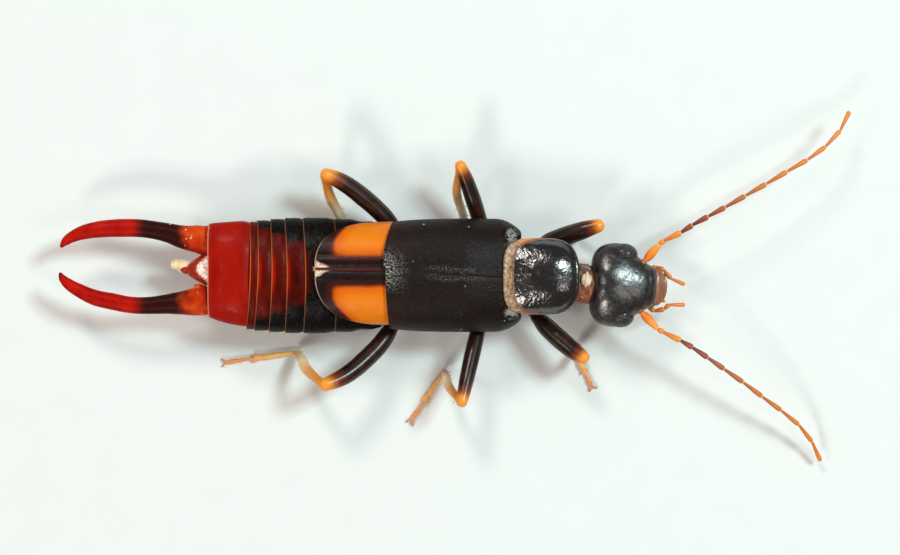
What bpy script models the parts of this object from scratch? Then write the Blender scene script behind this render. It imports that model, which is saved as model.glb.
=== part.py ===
"""A winged earwig, life size, standing as a still museum model.

Metres, +Z up, the head towards +X and the animal's left side towards +Y. While it is modelled, x runs from the
hind edge of the pronotum, y from the midline of the body and z from the floor. At the end an empty
shifts all of it, so that the middle of its footprint is the origin.
"""

import math

import bmesh
import bpy
from mathutils import Matrix, Vector

MM = 0.001

# Room kept between two nodes that meet, and the finest detail of round limbs.
GAP = 0.08 * MM
LIMB_SIDES = 3
BEAD_SIDES = 2
SWELL_LIMIT = 2.0

# Head, in its own frame: x from its hind edge, z from its own middle level.
HEAD_PLACE = Vector((2.227, -0.19, 1.64)) * MM
HEAD_YAW = math.radians(-3.5)
HEAD_LENGTH = 1.80 * MM
HEAD_HALF_WIDTH = 1.22 * MM
HEAD_HALF_HEIGHT = 0.60 * MM
HEAD_NOTCH = 0.16 * MM
EYE_PLACE = Vector((1.02, 0.95, 0.06)) * MM
EYE_RADII = Vector((0.32, 0.29, 0.31)) * MM
PALPS = {
    "left": [(1.55, 0.46, -0.30), (1.92, 0.60, -0.34), (2.15, 0.54, -0.36), (2.39, 0.29, -0.40), (2.83, 0.14, -0.52)],
    "right": [(1.55, -0.46, -0.30), (1.95, -0.70, -0.34), (2.24, -0.63, -0.36), (2.38, -0.49, -0.40), (2.87, -0.46, -0.54)],
}
PALP_RADIUS = 0.17 * MM

# Feelers: segment lengths in millimetres and headings in degrees, from the scape to the tip.
FEELER_ROOT = Vector((1.52, 0.68, 0.08)) * MM
FEELER_LENGTHS = (0.72, 0.17, 0.56, 0.39, 0.52, 0.57, 0.68, 0.71, 0.72, 0.71, 0.68, 0.69, 0.68)
FEELER_HEADINGS = {
    "left": (53, 41, 30, 37, 32, 32, 33, 33, 34, 33, 39, 50, 66),
    "right": (42, 30, 22, 27, 30, 31, 31, 33, 32, 35, 47, 60),
}
FEELER_STRETCH = {"left": 1.01, "right": 1.05}
FEELER_PITCH = {"left": (10, -16), "right": (4, -23)}
FEELER_RADIUS = 0.24 * MM
FEELER_TIP_RADIUS = 0.12 * MM
FEELER_WAIST = 0.62
FEELER_SINK = 0.12 * MM

# Body, from front to back.
PRONOTUM_MIDDLE = Vector((0.745, 0.02, 2.16)) * MM
PRONOTUM_HALF_LENGTH = 1.125 * MM
PRONOTUM_HALF_WIDTH = 1.13 * MM
PRONOTUM_RISE = 0.30 * MM
PRONOTUM_HALF_THICKNESS = 0.17 * MM
PRONOTUM_SQUARENESS = 3.6

WING_TOP = 2.74 * MM
WING_MIDDLE = 0.05 * MM
WING_HALF_WIDTH = 1.675 * MM
WING_COVER_TAPER = 0.07
WING_DEPTH = 1.10 * MM
WING_THICKNESS = 0.40 * MM
WING_COVER_FRONT = -0.36 * MM
WING_SHOULDER = 0.56 * MM
WING_COVER_REAR = {"left": (-3.91 * MM, -3.60 * MM), "right": (-3.91 * MM, -3.69 * MM)}
WING_COVER_CORNER = 0.08 * MM
SUTURE_ROOM = 0.5 * GAP
SUTURE_FRONT = -0.05 * MM
SUTURE_REAR = 0.236 * MM
WING_TIP_REAR = -5.88 * MM
WING_TIP_DROP = 0.14 * MM
WING_TIP_HALF_WIDTH = {"left": 1.42 * MM, "right": 1.64 * MM}
WING_TIP_ROUNDING = 2.6

ABDOMEN_LEVEL = 1.56 * MM
ABDOMEN_FLATNESS = 0.51
ABDOMEN_FRONT = -3.56 * MM
RING_STEP = 0.05 * MM
RING_SIDES = 26
# Hind edge and half width of each ring of the abdomen, from the thorax to the last big plate.
RINGS = [
    (-4.25 * MM, 1.50 * MM),
    (-4.95 * MM, 1.65 * MM),
    (-5.60 * MM, 1.71 * MM),
    (-6.25 * MM, 1.73 * MM),
    (-6.79 * MM, 1.72 * MM),
    (-7.23 * MM, 1.69 * MM),
    (-7.62 * MM, 1.65 * MM),
    (-7.90 * MM, 1.61 * MM),
]
# The last big plate: x, half width, top, bottom, and how far its middle lies to the left.
LAST_PLATE = [
    (-7.98, 1.46, 2.22, 0.90, 0.05),
    (-8.08, 1.55, 2.32, 0.82, 0.06),
    (-8.50, 1.51, 2.30, 0.86, 0.10),
    (-8.93, 1.45, 2.12, 0.98, 0.15),
    (-9.04, 1.36, 1.98, 1.08, 0.16),
]
# Points along each arm of the forceps, with its radius there.
FORCEPS = {
    "left": [
        (-8.92, 0.98, 1.50, 0.46),
        (-9.53, 1.15, 1.50, 0.38),
        (-10.00, 1.25, 1.51, 0.29),
        (-10.60, 1.39, 1.52, 0.25),
        (-11.40, 1.46, 1.53, 0.225),
        (-12.20, 1.44, 1.52, 0.205),
        (-12.80, 1.32, 1.50, 0.185),
        (-13.25, 1.08, 1.47, 0.145),
        (-13.43, 0.84, 1.44, 0.07),
    ],
    "right": [
        (-8.92, -0.56, 1.50, 0.48),
        (-9.53, -0.71, 1.50, 0.38),
        (-10.10, -0.77, 1.51, 0.29),
        (-10.80, -0.83, 1.52, 0.24),
        (-11.50, -0.79, 1.53, 0.235),
        (-12.20, -0.66, 1.52, 0.23),
        (-12.80, -0.44, 1.50, 0.19),
        (-13.25, -0.17, 1.47, 0.15),
        (-13.46, 0.16, 1.44, 0.07),
    ],
}
FORCEPS_LEVEL = 1.50 * MM
FORCEPS_FLATNESS = 0.86

# Legs, in millimetres: root of the coxa, hip, middle of the thigh, knee, middle of the shin, ankle, toe.
LEGS = {
    ("front", "left"): [
        (0.50, 0.42, 1.15), (0.60, 0.86, 0.92), (1.50, 1.21, 1.30), (2.62, 1.56, 1.60),
        (2.28, 1.44, 0.95), (1.90, 1.28, 0.26), (1.02, 0.72),
    ],
    ("front", "right"): [
        (0.50, -0.42, 1.15), (0.48, -0.98, 0.92), (1.33, -1.84, 1.30), (2.15, -2.47, 1.60),
        (2.02, -2.38, 0.95), (1.86, -2.28, 0.26), (2.33, -3.24),
    ],
    ("mid", "left"): [
        (-0.75, 0.45, 1.10), (-0.85, 1.00, 0.85), (-1.22, 2.25, 1.40), (-1.66, 3.38, 2.00),
        (-1.72, 2.52, 1.20), (-1.42, 1.50, 0.26), (-2.20, 0.12),
    ],
    ("mid", "right"): [
        (-0.80, -0.45, 1.10), (-0.94, -1.00, 0.85), (-1.26, -2.30, 1.40), (-1.60, -3.80, 2.00),
        (-1.93, -3.28, 1.15), (-2.09, -2.84, 0.26), (-3.05, -4.27),
    ],
    ("hind", "left"): [
        (-3.00, 0.50, 1.05), (-3.25, 1.05, 0.84), (-4.45, 2.33, 1.45), (-5.68, 3.06, 2.10),
        (-5.46, 2.35, 1.20), (-5.05, 1.52, 0.26), (-7.00, 1.00),
    ],
    ("hind", "right"): [
        (-3.00, -0.50, 1.05), (-3.40, -1.05, 0.84), (-4.42, -2.44, 1.45), (-5.72, -3.22, 2.10),
        (-6.16, -2.75, 1.20), (-6.50, -2.26, 0.26), (-8.62, -2.56),
    ],
}
FEMUR_RADIUS = {"front": 0.31 * MM, "mid": 0.255 * MM, "hind": 0.295 * MM}
COXA_RADIUS = 0.33 * MM
TIBIA_RADIUS = 0.235 * MM
TARSUS_RADIUS = 0.20 * MM
SOLE_LEVEL = 0.165 * MM
CLAW_LENGTH = 0.30 * MM
CLAW_RADIUS = 0.06 * MM
CLAW_SPREAD = math.radians(38)

COLOURS = {
    "cuticle_black": ((0.012, 0.010, 0.009), 0.38),
    "pronotum_rim": ((0.50, 0.30, 0.14), 0.45),
    "eye_black": ((0.010, 0.009, 0.009), 0.25),
    "wing_cover_black": ((0.014, 0.010, 0.008), 0.60),
    "wing_tip_orange": ((0.80, 0.26, 0.02), 0.45),
    "abdomen_red": ((0.20, 0.012, 0.005), 0.28),
    "plate_red": ((0.36, 0.022, 0.004), 0.25),
    "forceps_red": ((0.38, 0.018, 0.003), 0.25),
    "femur_brown": ((0.030, 0.014, 0.008), 0.22),
    "leg_orange": ((0.66, 0.27, 0.06), 0.35),
    "feeler_orange": ((0.68, 0.23, 0.03), 0.40),
    "mouth_brown": ((0.26, 0.11, 0.05), 0.40),
    "neck_skin": ((0.36, 0.20, 0.12), 0.55),
}


def clear_scene():
    for obj in list(bpy.data.objects):
        bpy.data.objects.remove(obj)


def material(name):
    """The Principled material of that name, made the first time that it is asked for."""
    found = bpy.data.materials.get(name)
    if found:
        return found
    colour, roughness = COLOURS[name]
    made = bpy.data.materials.new(name)
    made.use_nodes = True
    shader = made.node_tree.nodes["Principled BSDF"]
    shader.inputs["Base Color"].default_value = (*colour, 1.0)
    shader.inputs["Roughness"].default_value = roughness
    shader.inputs["Metallic"].default_value = 0.0
    return made


def add_object(name, mesh, finish):
    obj = bpy.data.objects.new(name, mesh)
    bpy.data.collections["earwig"].objects.link(obj)
    mesh.materials.clear()
    mesh.materials.append(material(finish))
    return obj


def keep_modified(obj):
    """Replaces the mesh by what its modifiers make of it."""
    bpy.context.view_layer.update()
    graph = bpy.context.evaluated_depsgraph_get()
    made = bpy.data.meshes.new_from_object(obj.evaluated_get(graph))
    obj.modifiers.clear()
    obj.data = made


def keep_largest(obj):
    """Keeps only the largest closed surface of the mesh."""
    mesh = bmesh.new()
    mesh.from_mesh(obj.data)
    bmesh.ops.remove_doubles(mesh, verts=mesh.verts, dist=1e-8)
    left = set(mesh.faces)
    shells = []
    while left:
        found = {left.pop()}
        edge = list(found)
        while edge:
            near = {f for e in edge.pop().edges for f in e.link_faces} & left
            left -= near
            found |= near
            edge.extend(near)
        shells.append(found)
    shells.sort(key=lambda faces: sum(f.calc_area() for f in faces), reverse=True)
    loose = [f for faces in shells[1:] for f in faces]
    bmesh.ops.delete(mesh, geom=loose, context="FACES")
    mesh.to_mesh(obj.data)
    mesh.free()


def swollen_copy(obj, by=GAP):
    """A hidden copy, grown by that much all round, which cuts the room that a neighbour leaves free."""
    mesh = obj.data.copy()
    grown = bmesh.new()
    grown.from_mesh(mesh)
    grown.normal_update()
    moves = [
        v.normal * by * min(v.calc_shell_factor(), SWELL_LIMIT) for v in grown.verts
    ]
    for vertex, move in zip(grown.verts, moves, strict=True):
        vertex.co += move
    grown.to_mesh(mesh)
    grown.free()
    cutter = bpy.data.objects.new(obj.name + "_room", mesh)
    bpy.data.collections["cutters"].objects.link(cutter)
    cutter.matrix_world = obj.matrix_world
    cutter.hide_render = True
    cutter.display_type = "WIRE"
    return cutter


def fit_round(piece, *neighbours):
    """Cuts the piece clear of its neighbours, so that it meets them face to face."""
    for neighbour in neighbours:
        cutter = swollen_copy(neighbour)
        cut = piece.modifiers.new("room", "BOOLEAN")
        cut.operation = "DIFFERENCE"
        cut.solver = "MANIFOLD"
        cut.object = cutter
        keep_modified(piece)
        bpy.data.objects.remove(cutter)
    keep_largest(piece)


def fuse(pieces):
    """Joins closed pieces into the first one."""
    first, others = pieces[0], pieces[1:]
    group = bpy.data.collections.new("to_join")
    bpy.context.scene.collection.children.link(group)
    for other in others:
        group.objects.link(other)
    join = first.modifiers.new("join", "BOOLEAN")
    join.operation = "UNION"
    join.solver = "EXACT"
    join.operand_type = "COLLECTION"
    join.collection = group
    keep_modified(first)
    for other in others:
        bpy.data.objects.remove(other)
    bpy.data.collections.remove(group)
    keep_largest(first)
    return first


def smooth_row(rows, place):
    """The row of numbers at that place along the rows, on a smooth line through them all."""
    at = min(int(place), len(rows) - 2)
    t = place - at
    b, c = rows[at], rows[at + 1]
    a = rows[at - 1] if at else b * 2 - c
    d = rows[at + 2] if at + 2 < len(rows) else c * 2 - b
    return ((b * 2) + (c - a) * t + (a * 2 - b * 5 + c * 4 - d) * t**2 + (b * 3 - a - c * 3 + d) * t**3) / 2


def rounded_ends(samples):
    """Adds the rings that round off both ends of a limb, within its length."""
    for _ in range(2):
        tip, radius = samples[0].to_3d(), samples[0].w
        inward = (samples[1].to_3d() - tip).normalized()
        rest = [s for s in samples[1:] if (s.to_3d() - tip).length > 1.05 * radius]
        cap = [
            Vector((*(tip + inward * radius * (1 - math.cos(turn))), radius * math.sin(turn)))
            for turn in (math.radians(28), math.radians(58), math.radians(88))
        ]
        samples = (cap + rest)[::-1]
    return samples


def limb(name, rows, finish, steps=3, resolution=LIMB_SIDES):
    """A closed limb through rows of (x, y, z, radius), with both ends rounded."""
    rows = [Vector(row) for row in rows]
    count = (len(rows) - 1) * steps
    samples = rounded_ends([smooth_row(rows, i / steps) for i in range(count + 1)])
    curve = bpy.data.curves.new(name, "CURVE")
    curve.dimensions = "3D"
    curve.bevel_depth = 1.0
    curve.bevel_resolution = resolution
    curve.use_fill_caps = True
    spline = curve.splines.new("POLY")
    spline.points.add(len(samples) - 1)
    for point, sample in zip(spline.points, samples, strict=True):
        point.co = (*sample.to_3d(), 1.0)
        point.radius = sample.w
    guide = bpy.data.objects.new(name + "_line", curve)
    bpy.data.collections["earwig"].objects.link(guide)
    bpy.context.view_layer.update()
    graph = bpy.context.evaluated_depsgraph_get()
    mesh = bpy.data.meshes.new_from_object(guide.evaluated_get(graph))
    bpy.data.objects.remove(guide)
    welded = bmesh.new()
    welded.from_mesh(mesh)
    bmesh.ops.remove_doubles(welded, verts=welded.verts, dist=1e-8)
    bmesh.ops.recalc_face_normals(welded, faces=welded.faces)
    welded.to_mesh(mesh)
    welded.free()
    return add_object(name, mesh, finish)


def with_radii(points, radii):
    return [(*point, radius) for point, radius in zip(points, radii, strict=True)]


def rows_mm(rows):
    return [tuple(value * MM for value in row) for row in rows]


def flatten(obj, level, share):
    """Presses the mesh towards a level, to that share of its height."""
    for vertex in obj.data.vertices:
        vertex.co.z = level + (vertex.co.z - level) * share


def loft(name, sections, finish, sides=24, squareness=2.4):
    """A closed body through upright sections of (x, half width, top, bottom, level of its widest line)."""
    mesh = bmesh.new()
    rings = []
    power = 2 / squareness
    for x, half_width, top, bottom, level in sections:
        ring = []
        for i in range(sides):
            turn = 2 * math.pi * i / sides
            across, up = math.cos(turn), math.sin(turn)
            y = half_width * math.copysign(abs(across) ** power, across)
            reach = top - level if up > 0 else level - bottom
            z = level + reach * math.copysign(abs(up) ** power, up)
            ring.append(mesh.verts.new((x, y, z)))
        rings.append(ring)
    for a, b in zip(rings, rings[1:], strict=False):
        for i in range(sides):
            j = (i + 1) % sides
            mesh.faces.new((a[i], a[j], b[j], b[i]))
    mesh.faces.new(rings[0])
    mesh.faces.new(rings[-1])
    bmesh.ops.recalc_face_normals(mesh, faces=mesh.faces)
    made = bpy.data.meshes.new(name)
    mesh.to_mesh(made)
    mesh.free()
    return add_object(name, made, finish)


def ball(name, centre, radii, finish, rounds=20, rows=12):
    """An ellipsoid from Blender's sphere."""
    mesh = bmesh.new()
    bmesh.ops.create_uvsphere(mesh, u_segments=rounds, v_segments=rows, radius=1.0)
    bmesh.ops.scale(mesh, vec=radii, verts=mesh.verts)
    bmesh.ops.translate(mesh, vec=centre, verts=mesh.verts)
    made = bpy.data.meshes.new(name)
    mesh.to_mesh(made)
    mesh.free()
    return add_object(name, made, finish)


def smooth(obj):
    obj.data.shade_smooth()
    obj.data.set_sharp_from_angle(angle=math.radians(40))


def make_head():
    """The head capsule: broad, with a notched hind edge, narrowing in front of the eyes to the mouth."""
    length, wide, high = HEAD_LENGTH, HEAD_HALF_WIDTH, HEAD_HALF_HEIGHT
    shape = [
        # share of the length, of the half width, and of the height above and below the level
        (-0.03, 0.56, 0.28, 0.32),
        (0.02, 0.74, 0.54, 0.58),
        (0.09, 0.88, 0.78, 0.82),
        (0.19, 0.96, 0.91, 0.94),
        (0.32, 1.00, 1.00, 1.00),
        (0.44, 0.99, 1.00, 1.00),
        (0.56, 0.89, 0.96, 1.00),
        (0.68, 0.77, 0.88, 0.95),
        (0.80, 0.65, 0.76, 0.88),
        (0.91, 0.56, 0.60, 0.74),
        (1.00, 0.44, 0.42, 0.50),
    ]
    sections = [(s * length, w * wide, up * high, -down * high, 0.0) for s, w, up, down in shape]
    head = loft("head", sections, "cuticle_black", sides=26)
    for vertex in head.data.vertices:
        near_back = max(0.0, 1 - vertex.co.x / (0.34 * length))
        near_middle = math.exp(-((vertex.co.y / (0.36 * wide)) ** 2))
        vertex.co.x += HEAD_NOTCH * near_back * near_middle
    return head


def make_eye(side, head):
    centre = EYE_PLACE.copy()
    centre.y *= side_sign(side)
    eye = ball(f"eye_{side}", centre, EYE_RADII, "eye_black", rounds=16, rows=10)
    fit_round(head, eye)
    return eye


def side_sign(side):
    return 1.0 if side == "left" else -1.0


def heading_vector(heading, pitch, side):
    return Vector(
        (
            math.cos(heading) * math.cos(pitch),
            math.sin(heading) * math.cos(pitch) * side_sign(side),
            math.sin(pitch),
        )
    )


def make_feeler(side, head):
    """A feeler of cone-shaped segments, each rooted in the wide end of the one before it."""
    place = FEELER_ROOT.copy()
    place.y *= side_sign(side)
    headings = FEELER_HEADINGS[side]
    last = len(headings) - 1
    first_pitch, last_pitch = FEELER_PITCH[side]
    beads = []
    for i, (length, heading) in enumerate(zip(FEELER_LENGTHS, headings, strict=False)):
        pitch = first_pitch + (last_pitch - first_pitch) * i / last
        forward = heading_vector(math.radians(heading), math.radians(pitch), side)
        thick = FEELER_RADIUS + (FEELER_TIP_RADIUS - FEELER_RADIUS) * i / last
        waist = thick * (0.85 if i == 1 else FEELER_WAIST)
        start = place - forward * (FEELER_SINK if i else 0.0)
        end = place + forward * length * FEELER_STRETCH[side] * MM
        points = [start, start.lerp(end, 0.30), start.lerp(end, 0.78), end]
        rows = with_radii(points, (waist, 1.1 * waist, thick, 0.8 * thick))
        name = f"feeler_{side}" if i == 0 else f"feeler_{side}_bead_{i}"
        beads.append(limb(name, rows, "feeler_orange", steps=1, resolution=BEAD_SIDES))
        place = end
    feeler = fuse(beads)
    fit_round(feeler, head)
    return feeler


def make_palp(side, head, labrum):
    """The long feeling palp beside the mouth, in bent segments."""
    joints = [Vector(point) * MM for point in PALPS[side]]
    pieces = []
    for i, (start, end) in enumerate(zip(joints, joints[1:], strict=False)):
        back = (end - start).normalized() * (0.07 * MM if i else 0.0)
        points = [start - back, start.lerp(end, 0.6), end]
        rows = with_radii(points, (0.8 * PALP_RADIUS, PALP_RADIUS, 0.8 * PALP_RADIUS))
        name = f"palp_{side}" if i == 0 else f"palp_{side}_bead_{i}"
        pieces.append(limb(name, rows, "feeler_orange", steps=1, resolution=BEAD_SIDES))
    palp = fuse(pieces)
    fit_round(palp, head, labrum)
    return palp


def make_mouth(head):
    """The upper lip, the two jaws under it and the lower lip behind them."""
    labrum_rows = [
        (1.60, 0.56, 0.30, -0.10, 0.08),
        (1.92, 0.55, 0.22, -0.10, 0.05),
        (2.12, 0.47, 0.13, -0.10, 0.02),
        (2.21, 0.37, 0.08, -0.10, 0.00),
        (2.27, 0.24, 0.02, -0.09, -0.03),
    ]
    labrum = loft("labrum", rows_mm(labrum_rows), "mouth_brown", sides=16, squareness=2.8)
    fit_round(labrum, head)
    jaws = []
    for side in ("left", "right"):
        sign = side_sign(side)
        jaw_rows = [(1.45, 0.40, -0.28, 0.19), (1.90, 0.42, -0.31, 0.18), (2.19, 0.14, -0.33, 0.09)]
        jaw_rows = [(x, y * sign, z, radius) for x, y, z, radius in jaw_rows]
        jaw = limb(f"jaw_{side}", rows_mm(jaw_rows), "mouth_brown", steps=2, resolution=BEAD_SIDES)
        fit_round(jaw, head, labrum, *jaws)
        jaws.append(jaw)
    lip_rows = [
        (0.95, 0.34, -0.56, -0.84, -0.66),
        (1.30, 0.40, -0.50, -0.84, -0.66),
        (1.75, 0.36, -0.50, -0.80, -0.66),
        (2.00, 0.24, -0.54, -0.74, -0.64),
    ]
    lip = loft("lower_lip", rows_mm(lip_rows), "mouth_brown", sides=16, squareness=2.8)
    fit_round(lip, head, *jaws)
    return labrum, [*jaws, lip]


def make_pronotum():
    """The neck shield: a rounded square lens whose sides bend down."""
    plate = ball("pronotum", (0, 0, 0), (1, 1, 1), "pronotum_rim", rounds=32, rows=12)
    for vertex in plate.data.vertices:
        flat = math.hypot(vertex.co.x, vertex.co.y)
        side = math.copysign(1.0, vertex.co.z) if abs(vertex.co.z) > 1e-6 else 0.0
        if flat > 1e-6:
            cx, cy = vertex.co.x / flat, vertex.co.y / flat
            squared = (abs(cx) ** PRONOTUM_SQUARENESS + abs(cy) ** PRONOTUM_SQUARENESS) ** (
                -1 / PRONOTUM_SQUARENESS
            )
            cx, cy = cx * squared, cy * squared
        else:
            cx = cy = 0.0
        bend = PRONOTUM_RISE * (1 - (flat * cy) ** 2 * 1.5 - 0.25 * (flat * cx) ** 2)
        depth = PRONOTUM_HALF_THICKNESS * abs(vertex.co.z) ** 0.6 * side
        vertex.co = PRONOTUM_MIDDLE + Vector(
            (flat * cx * PRONOTUM_HALF_LENGTH, flat * cy * PRONOTUM_HALF_WIDTH, bend + depth)
        )
    return plate


def suture(x):
    """How far to the left of the midline the two wing covers meet."""
    share = min(1.0, max(0.0, x / WING_COVER_REAR["left"][0]))
    return SUTURE_FRONT + (SUTURE_REAR - SUTURE_FRONT) * share


def wing_height(y, half_width, top):
    """How high the folded wings' upper face is at that distance from the midline."""
    share = min(1.0, abs(y - WING_MIDDLE) / half_width)
    return top - WING_DEPTH * (1 - (1 - share**2.8) ** (1 / 2.0))


def wing_shell(name, finish, across, along, place):
    """A sheet of across by along cells, set point by point by place(u, v), and given its thickness inwards."""
    mesh = bmesh.new()
    bmesh.ops.create_grid(mesh, x_segments=along, y_segments=across, size=1.0)
    for vertex in mesh.verts:
        u, v = (1 - vertex.co.x) / 2, (vertex.co.y + 1) / 2
        vertex.co = place(u, v)
    bmesh.ops.recalc_face_normals(mesh, faces=mesh.faces)
    if sum(face.normal.z * face.calc_area() for face in mesh.faces) < 0:
        bmesh.ops.reverse_faces(mesh, faces=mesh.faces)
    made = bpy.data.meshes.new(name)
    mesh.to_mesh(made)
    mesh.free()
    shell = add_object(name, made, finish)
    thick = shell.modifiers.new("thickness", "SOLIDIFY")
    thick.thickness = WING_THICKNESS
    thick.offset = -1.0
    thick.use_even_offset = True
    keep_modified(shell)
    return shell


def make_wing_cover(side, pronotum):
    """The short leathery fore wing, cut off square behind and bent down at its outer edge."""
    sign = side_sign(side)
    inner_rear, outer_rear = WING_COVER_REAR[side]

    def place(u, v):
        shoulder = max(0.0, 1 - u / 0.13)
        half_width = WING_HALF_WIDTH * (1 - 0.13 * shoulder**2.2 - WING_COVER_TAPER * u**5)
        rise = min(1.0, v / 0.66)
        fall = max(0.0, (v - 0.66) / 0.34)
        front = WING_COVER_FRONT + WING_SHOULDER * (rise * rise * (3 - 2 * rise) - 0.45 * fall**2)
        rear = inner_rear + (outer_rear - inner_rear) * v**1.5 + WING_COVER_CORNER * (1 - v) ** 12
        x = front + (rear - front) * u
        inner = suture(x) + SUTURE_ROOM * sign
        outer = WING_MIDDLE + half_width * sign
        y = inner + (outer - inner) * math.sin(v * math.pi / 2)
        top = WING_TOP - 0.16 * MM * shoulder**2
        return Vector((x, y, wing_height(y, half_width * 1.001, top)))

    cover = wing_shell(f"wing_cover_{side}", "wing_cover_black", 10, 12, place)
    fit_round(cover, pronotum)
    return cover


def make_wing_tip(side):
    """The folded hind wing's tip, which shows behind its cover."""
    sign = side_sign(side)
    inner_rear, outer_rear = WING_COVER_REAR[side]
    half_width = WING_TIP_HALF_WIDTH[side]

    def place(u, v):
        front = inner_rear + (outer_rear - inner_rear) * v**1.5 - GAP
        reach = 0.985 * u
        y = half_width * (1 - reach**WING_TIP_ROUNDING) ** (1 / WING_TIP_ROUNDING)
        y = SUTURE_REAR + sign * (SUTURE_ROOM + (y - SUTURE_ROOM) * math.sin(v * math.pi / 2))
        x = front + (WING_TIP_REAR - front) * u
        level = wing_height(y, WING_HALF_WIDTH, WING_TOP - WING_TIP_DROP) - 0.10 * MM * u**2
        return Vector((x, y, level))

    return wing_shell(f"wing_tip_{side}", "wing_tip_orange", 9, 10, place)


def make_thorax(covers):
    """The fused middle and hind thorax that the four wings and four hind legs grow from."""
    rows = [
        (-0.24, 1.02, 2.20, 0.96, 1.50),
        (-0.60, 1.36, 2.50, 0.80, 1.50),
        (-1.60, 1.44, 2.60, 0.76, 1.52),
        (-2.80, 1.44, 2.60, 0.76, 1.52),
        (-3.46, 1.36, 2.50, 0.84, 1.52),
    ]
    thorax = loft("thorax", rows_mm(rows), "cuticle_black", sides=24, squareness=2.8)
    fit_round(thorax, *covers)
    return thorax


def make_prothorax(pronotum, thorax):
    """The box under the neck shield that carries the front legs."""
    rows = [
        (-0.14, 0.94, 2.36, 0.98, 1.45),
        (0.10, 0.98, 2.38, 0.90, 1.45),
        (0.95, 0.92, 2.38, 0.92, 1.48),
        (1.50, 0.78, 2.28, 1.04, 1.52),
        (1.72, 0.66, 2.18, 1.16, 1.55),
    ]
    box = loft("prothorax", rows_mm(rows), "cuticle_black", sides=22, squareness=2.8)
    fit_round(box, pronotum, thorax)
    return box


def make_neck(head, prothorax, pronotum):
    rows = [
        (1.64, 0.56, 2.02, 1.24, 1.62),
        (1.95, 0.60, 2.06, 1.22, 1.64),
        (2.20, 0.54, 2.00, 1.24, 1.62),
        (2.60, 0.46, 1.90, 1.30, 1.60),
    ]
    neck = loft("neck", rows_mm(rows), "neck_skin", sides=18)
    for vertex in neck.data.vertices:
        vertex.co.y += HEAD_PLACE.y * max(0.0, vertex.co.x / (2.40 * MM)) ** 3
    fit_round(neck, head, prothorax, pronotum)
    return neck


def make_abdomen(thorax, tips):
    """The ringed abdomen: a turned profile in which each ring laps over the next, pressed flat."""
    profile = []
    front, start = ABDOMEN_FRONT, 1.30 * MM
    for rear, half_width in RINGS:
        profile.append((front, start))
        profile.append((front + 0.35 * (rear - front), 0.5 * (start + half_width) + 0.3 * RING_STEP))
        profile.append((rear, half_width))
        front, start = rear, half_width - RING_STEP
    mesh = bmesh.new()
    points = [(ABDOMEN_FRONT, 0.0), *profile, (RINGS[-1][0], 0.0)]
    verts = [mesh.verts.new((radius, 0.0, x)) for x, radius in points]
    for a, b in zip(verts, verts[1:], strict=False):
        mesh.edges.new((a, b))
    made = bpy.data.meshes.new("abdomen")
    mesh.to_mesh(made)
    mesh.free()
    abdomen = add_object("abdomen", made, "abdomen_red")
    turn = abdomen.modifiers.new("turn", "SCREW")
    turn.axis = "Z"
    turn.steps = turn.render_steps = RING_SIDES
    turn.use_merge_vertices = True
    turn.merge_threshold = 1e-7
    keep_modified(abdomen)
    abdomen.data.transform(Matrix.Rotation(math.radians(90), 4, "Y"))
    flatten(abdomen, 0.0, ABDOMEN_FLATNESS)
    abdomen.data.transform(Matrix.Translation((0, 0, ABDOMEN_LEVEL)))
    fit_round(abdomen, thorax, *tips)
    return abdomen


def make_last_plate():
    """The big plate of the tenth ring, which carries the forceps."""
    rows = [(x, wide, top, bottom, 1.51) for x, wide, top, bottom, _ in LAST_PLATE]
    plate = loft("last_plate", rows_mm(rows), "plate_red", sides=26, squareness=2.9)
    sides = len(plate.data.vertices) // len(LAST_PLATE)
    for i, vertex in enumerate(plate.data.vertices):
        vertex.co.y += LAST_PLATE[i // sides][-1] * MM
    return plate


def make_pygidium(plate):
    """The small shield between the roots of the forceps, with the pale tip that shows behind it."""
    rows = [
        (-8.90, 0.50, 1.84, 1.22, 1.52),
        (-9.15, 0.47, 1.80, 1.22, 1.50),
        (-9.42, 0.36, 1.70, 1.24, 1.46),
        (-9.60, 0.24, 1.60, 1.28, 1.44),
        (-9.69, 0.13, 1.54, 1.32, 1.43),
    ]
    shield = loft("pygidium", rows_mm(rows), "plate_red", sides=16)
    for vertex in shield.data.vertices:
        vertex.co.y += 0.22 * MM
    fit_round(shield, plate)
    tip_rows = [(-9.50, 0.21, 1.36, 0.19), (-9.88, 0.23, 1.33, 0.18), (-10.24, 0.24, 1.30, 0.20)]
    tip = limb("pygidium_tip", rows_mm(tip_rows), "neck_skin", steps=2, resolution=BEAD_SIDES)
    fit_round(tip, shield)
    return [shield, tip]


def make_forceps(side, plate, pygidium):
    """One arm of the forceps, broad at its root, bowed outwards and hooked in at its tip."""
    arm = limb(f"forceps_{side}", rows_mm(FORCEPS[side]), "forceps_red", steps=2)
    flatten(arm, FORCEPS_LEVEL, FORCEPS_FLATNESS)
    fit_round(arm, plate, *pygidium)
    return arm


def cut_flat(obj, level=0.0):
    """Cuts off what lies below the level and closes the cut with a flat face."""
    mesh = bmesh.new()
    mesh.from_mesh(obj.data)
    bmesh.ops.bisect_plane(
        mesh,
        geom=[*mesh.verts, *mesh.edges, *mesh.faces],
        dist=1e-8,
        plane_co=(0, 0, level),
        plane_no=(0, 0, -1),
        clear_outer=True,
    )
    rim = [edge for edge in mesh.edges if edge.is_boundary]
    bmesh.ops.contextual_create(mesh, geom=rim)
    bmesh.ops.recalc_face_normals(mesh, faces=mesh.faces)
    mesh.to_mesh(obj.data)
    mesh.free()


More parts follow.
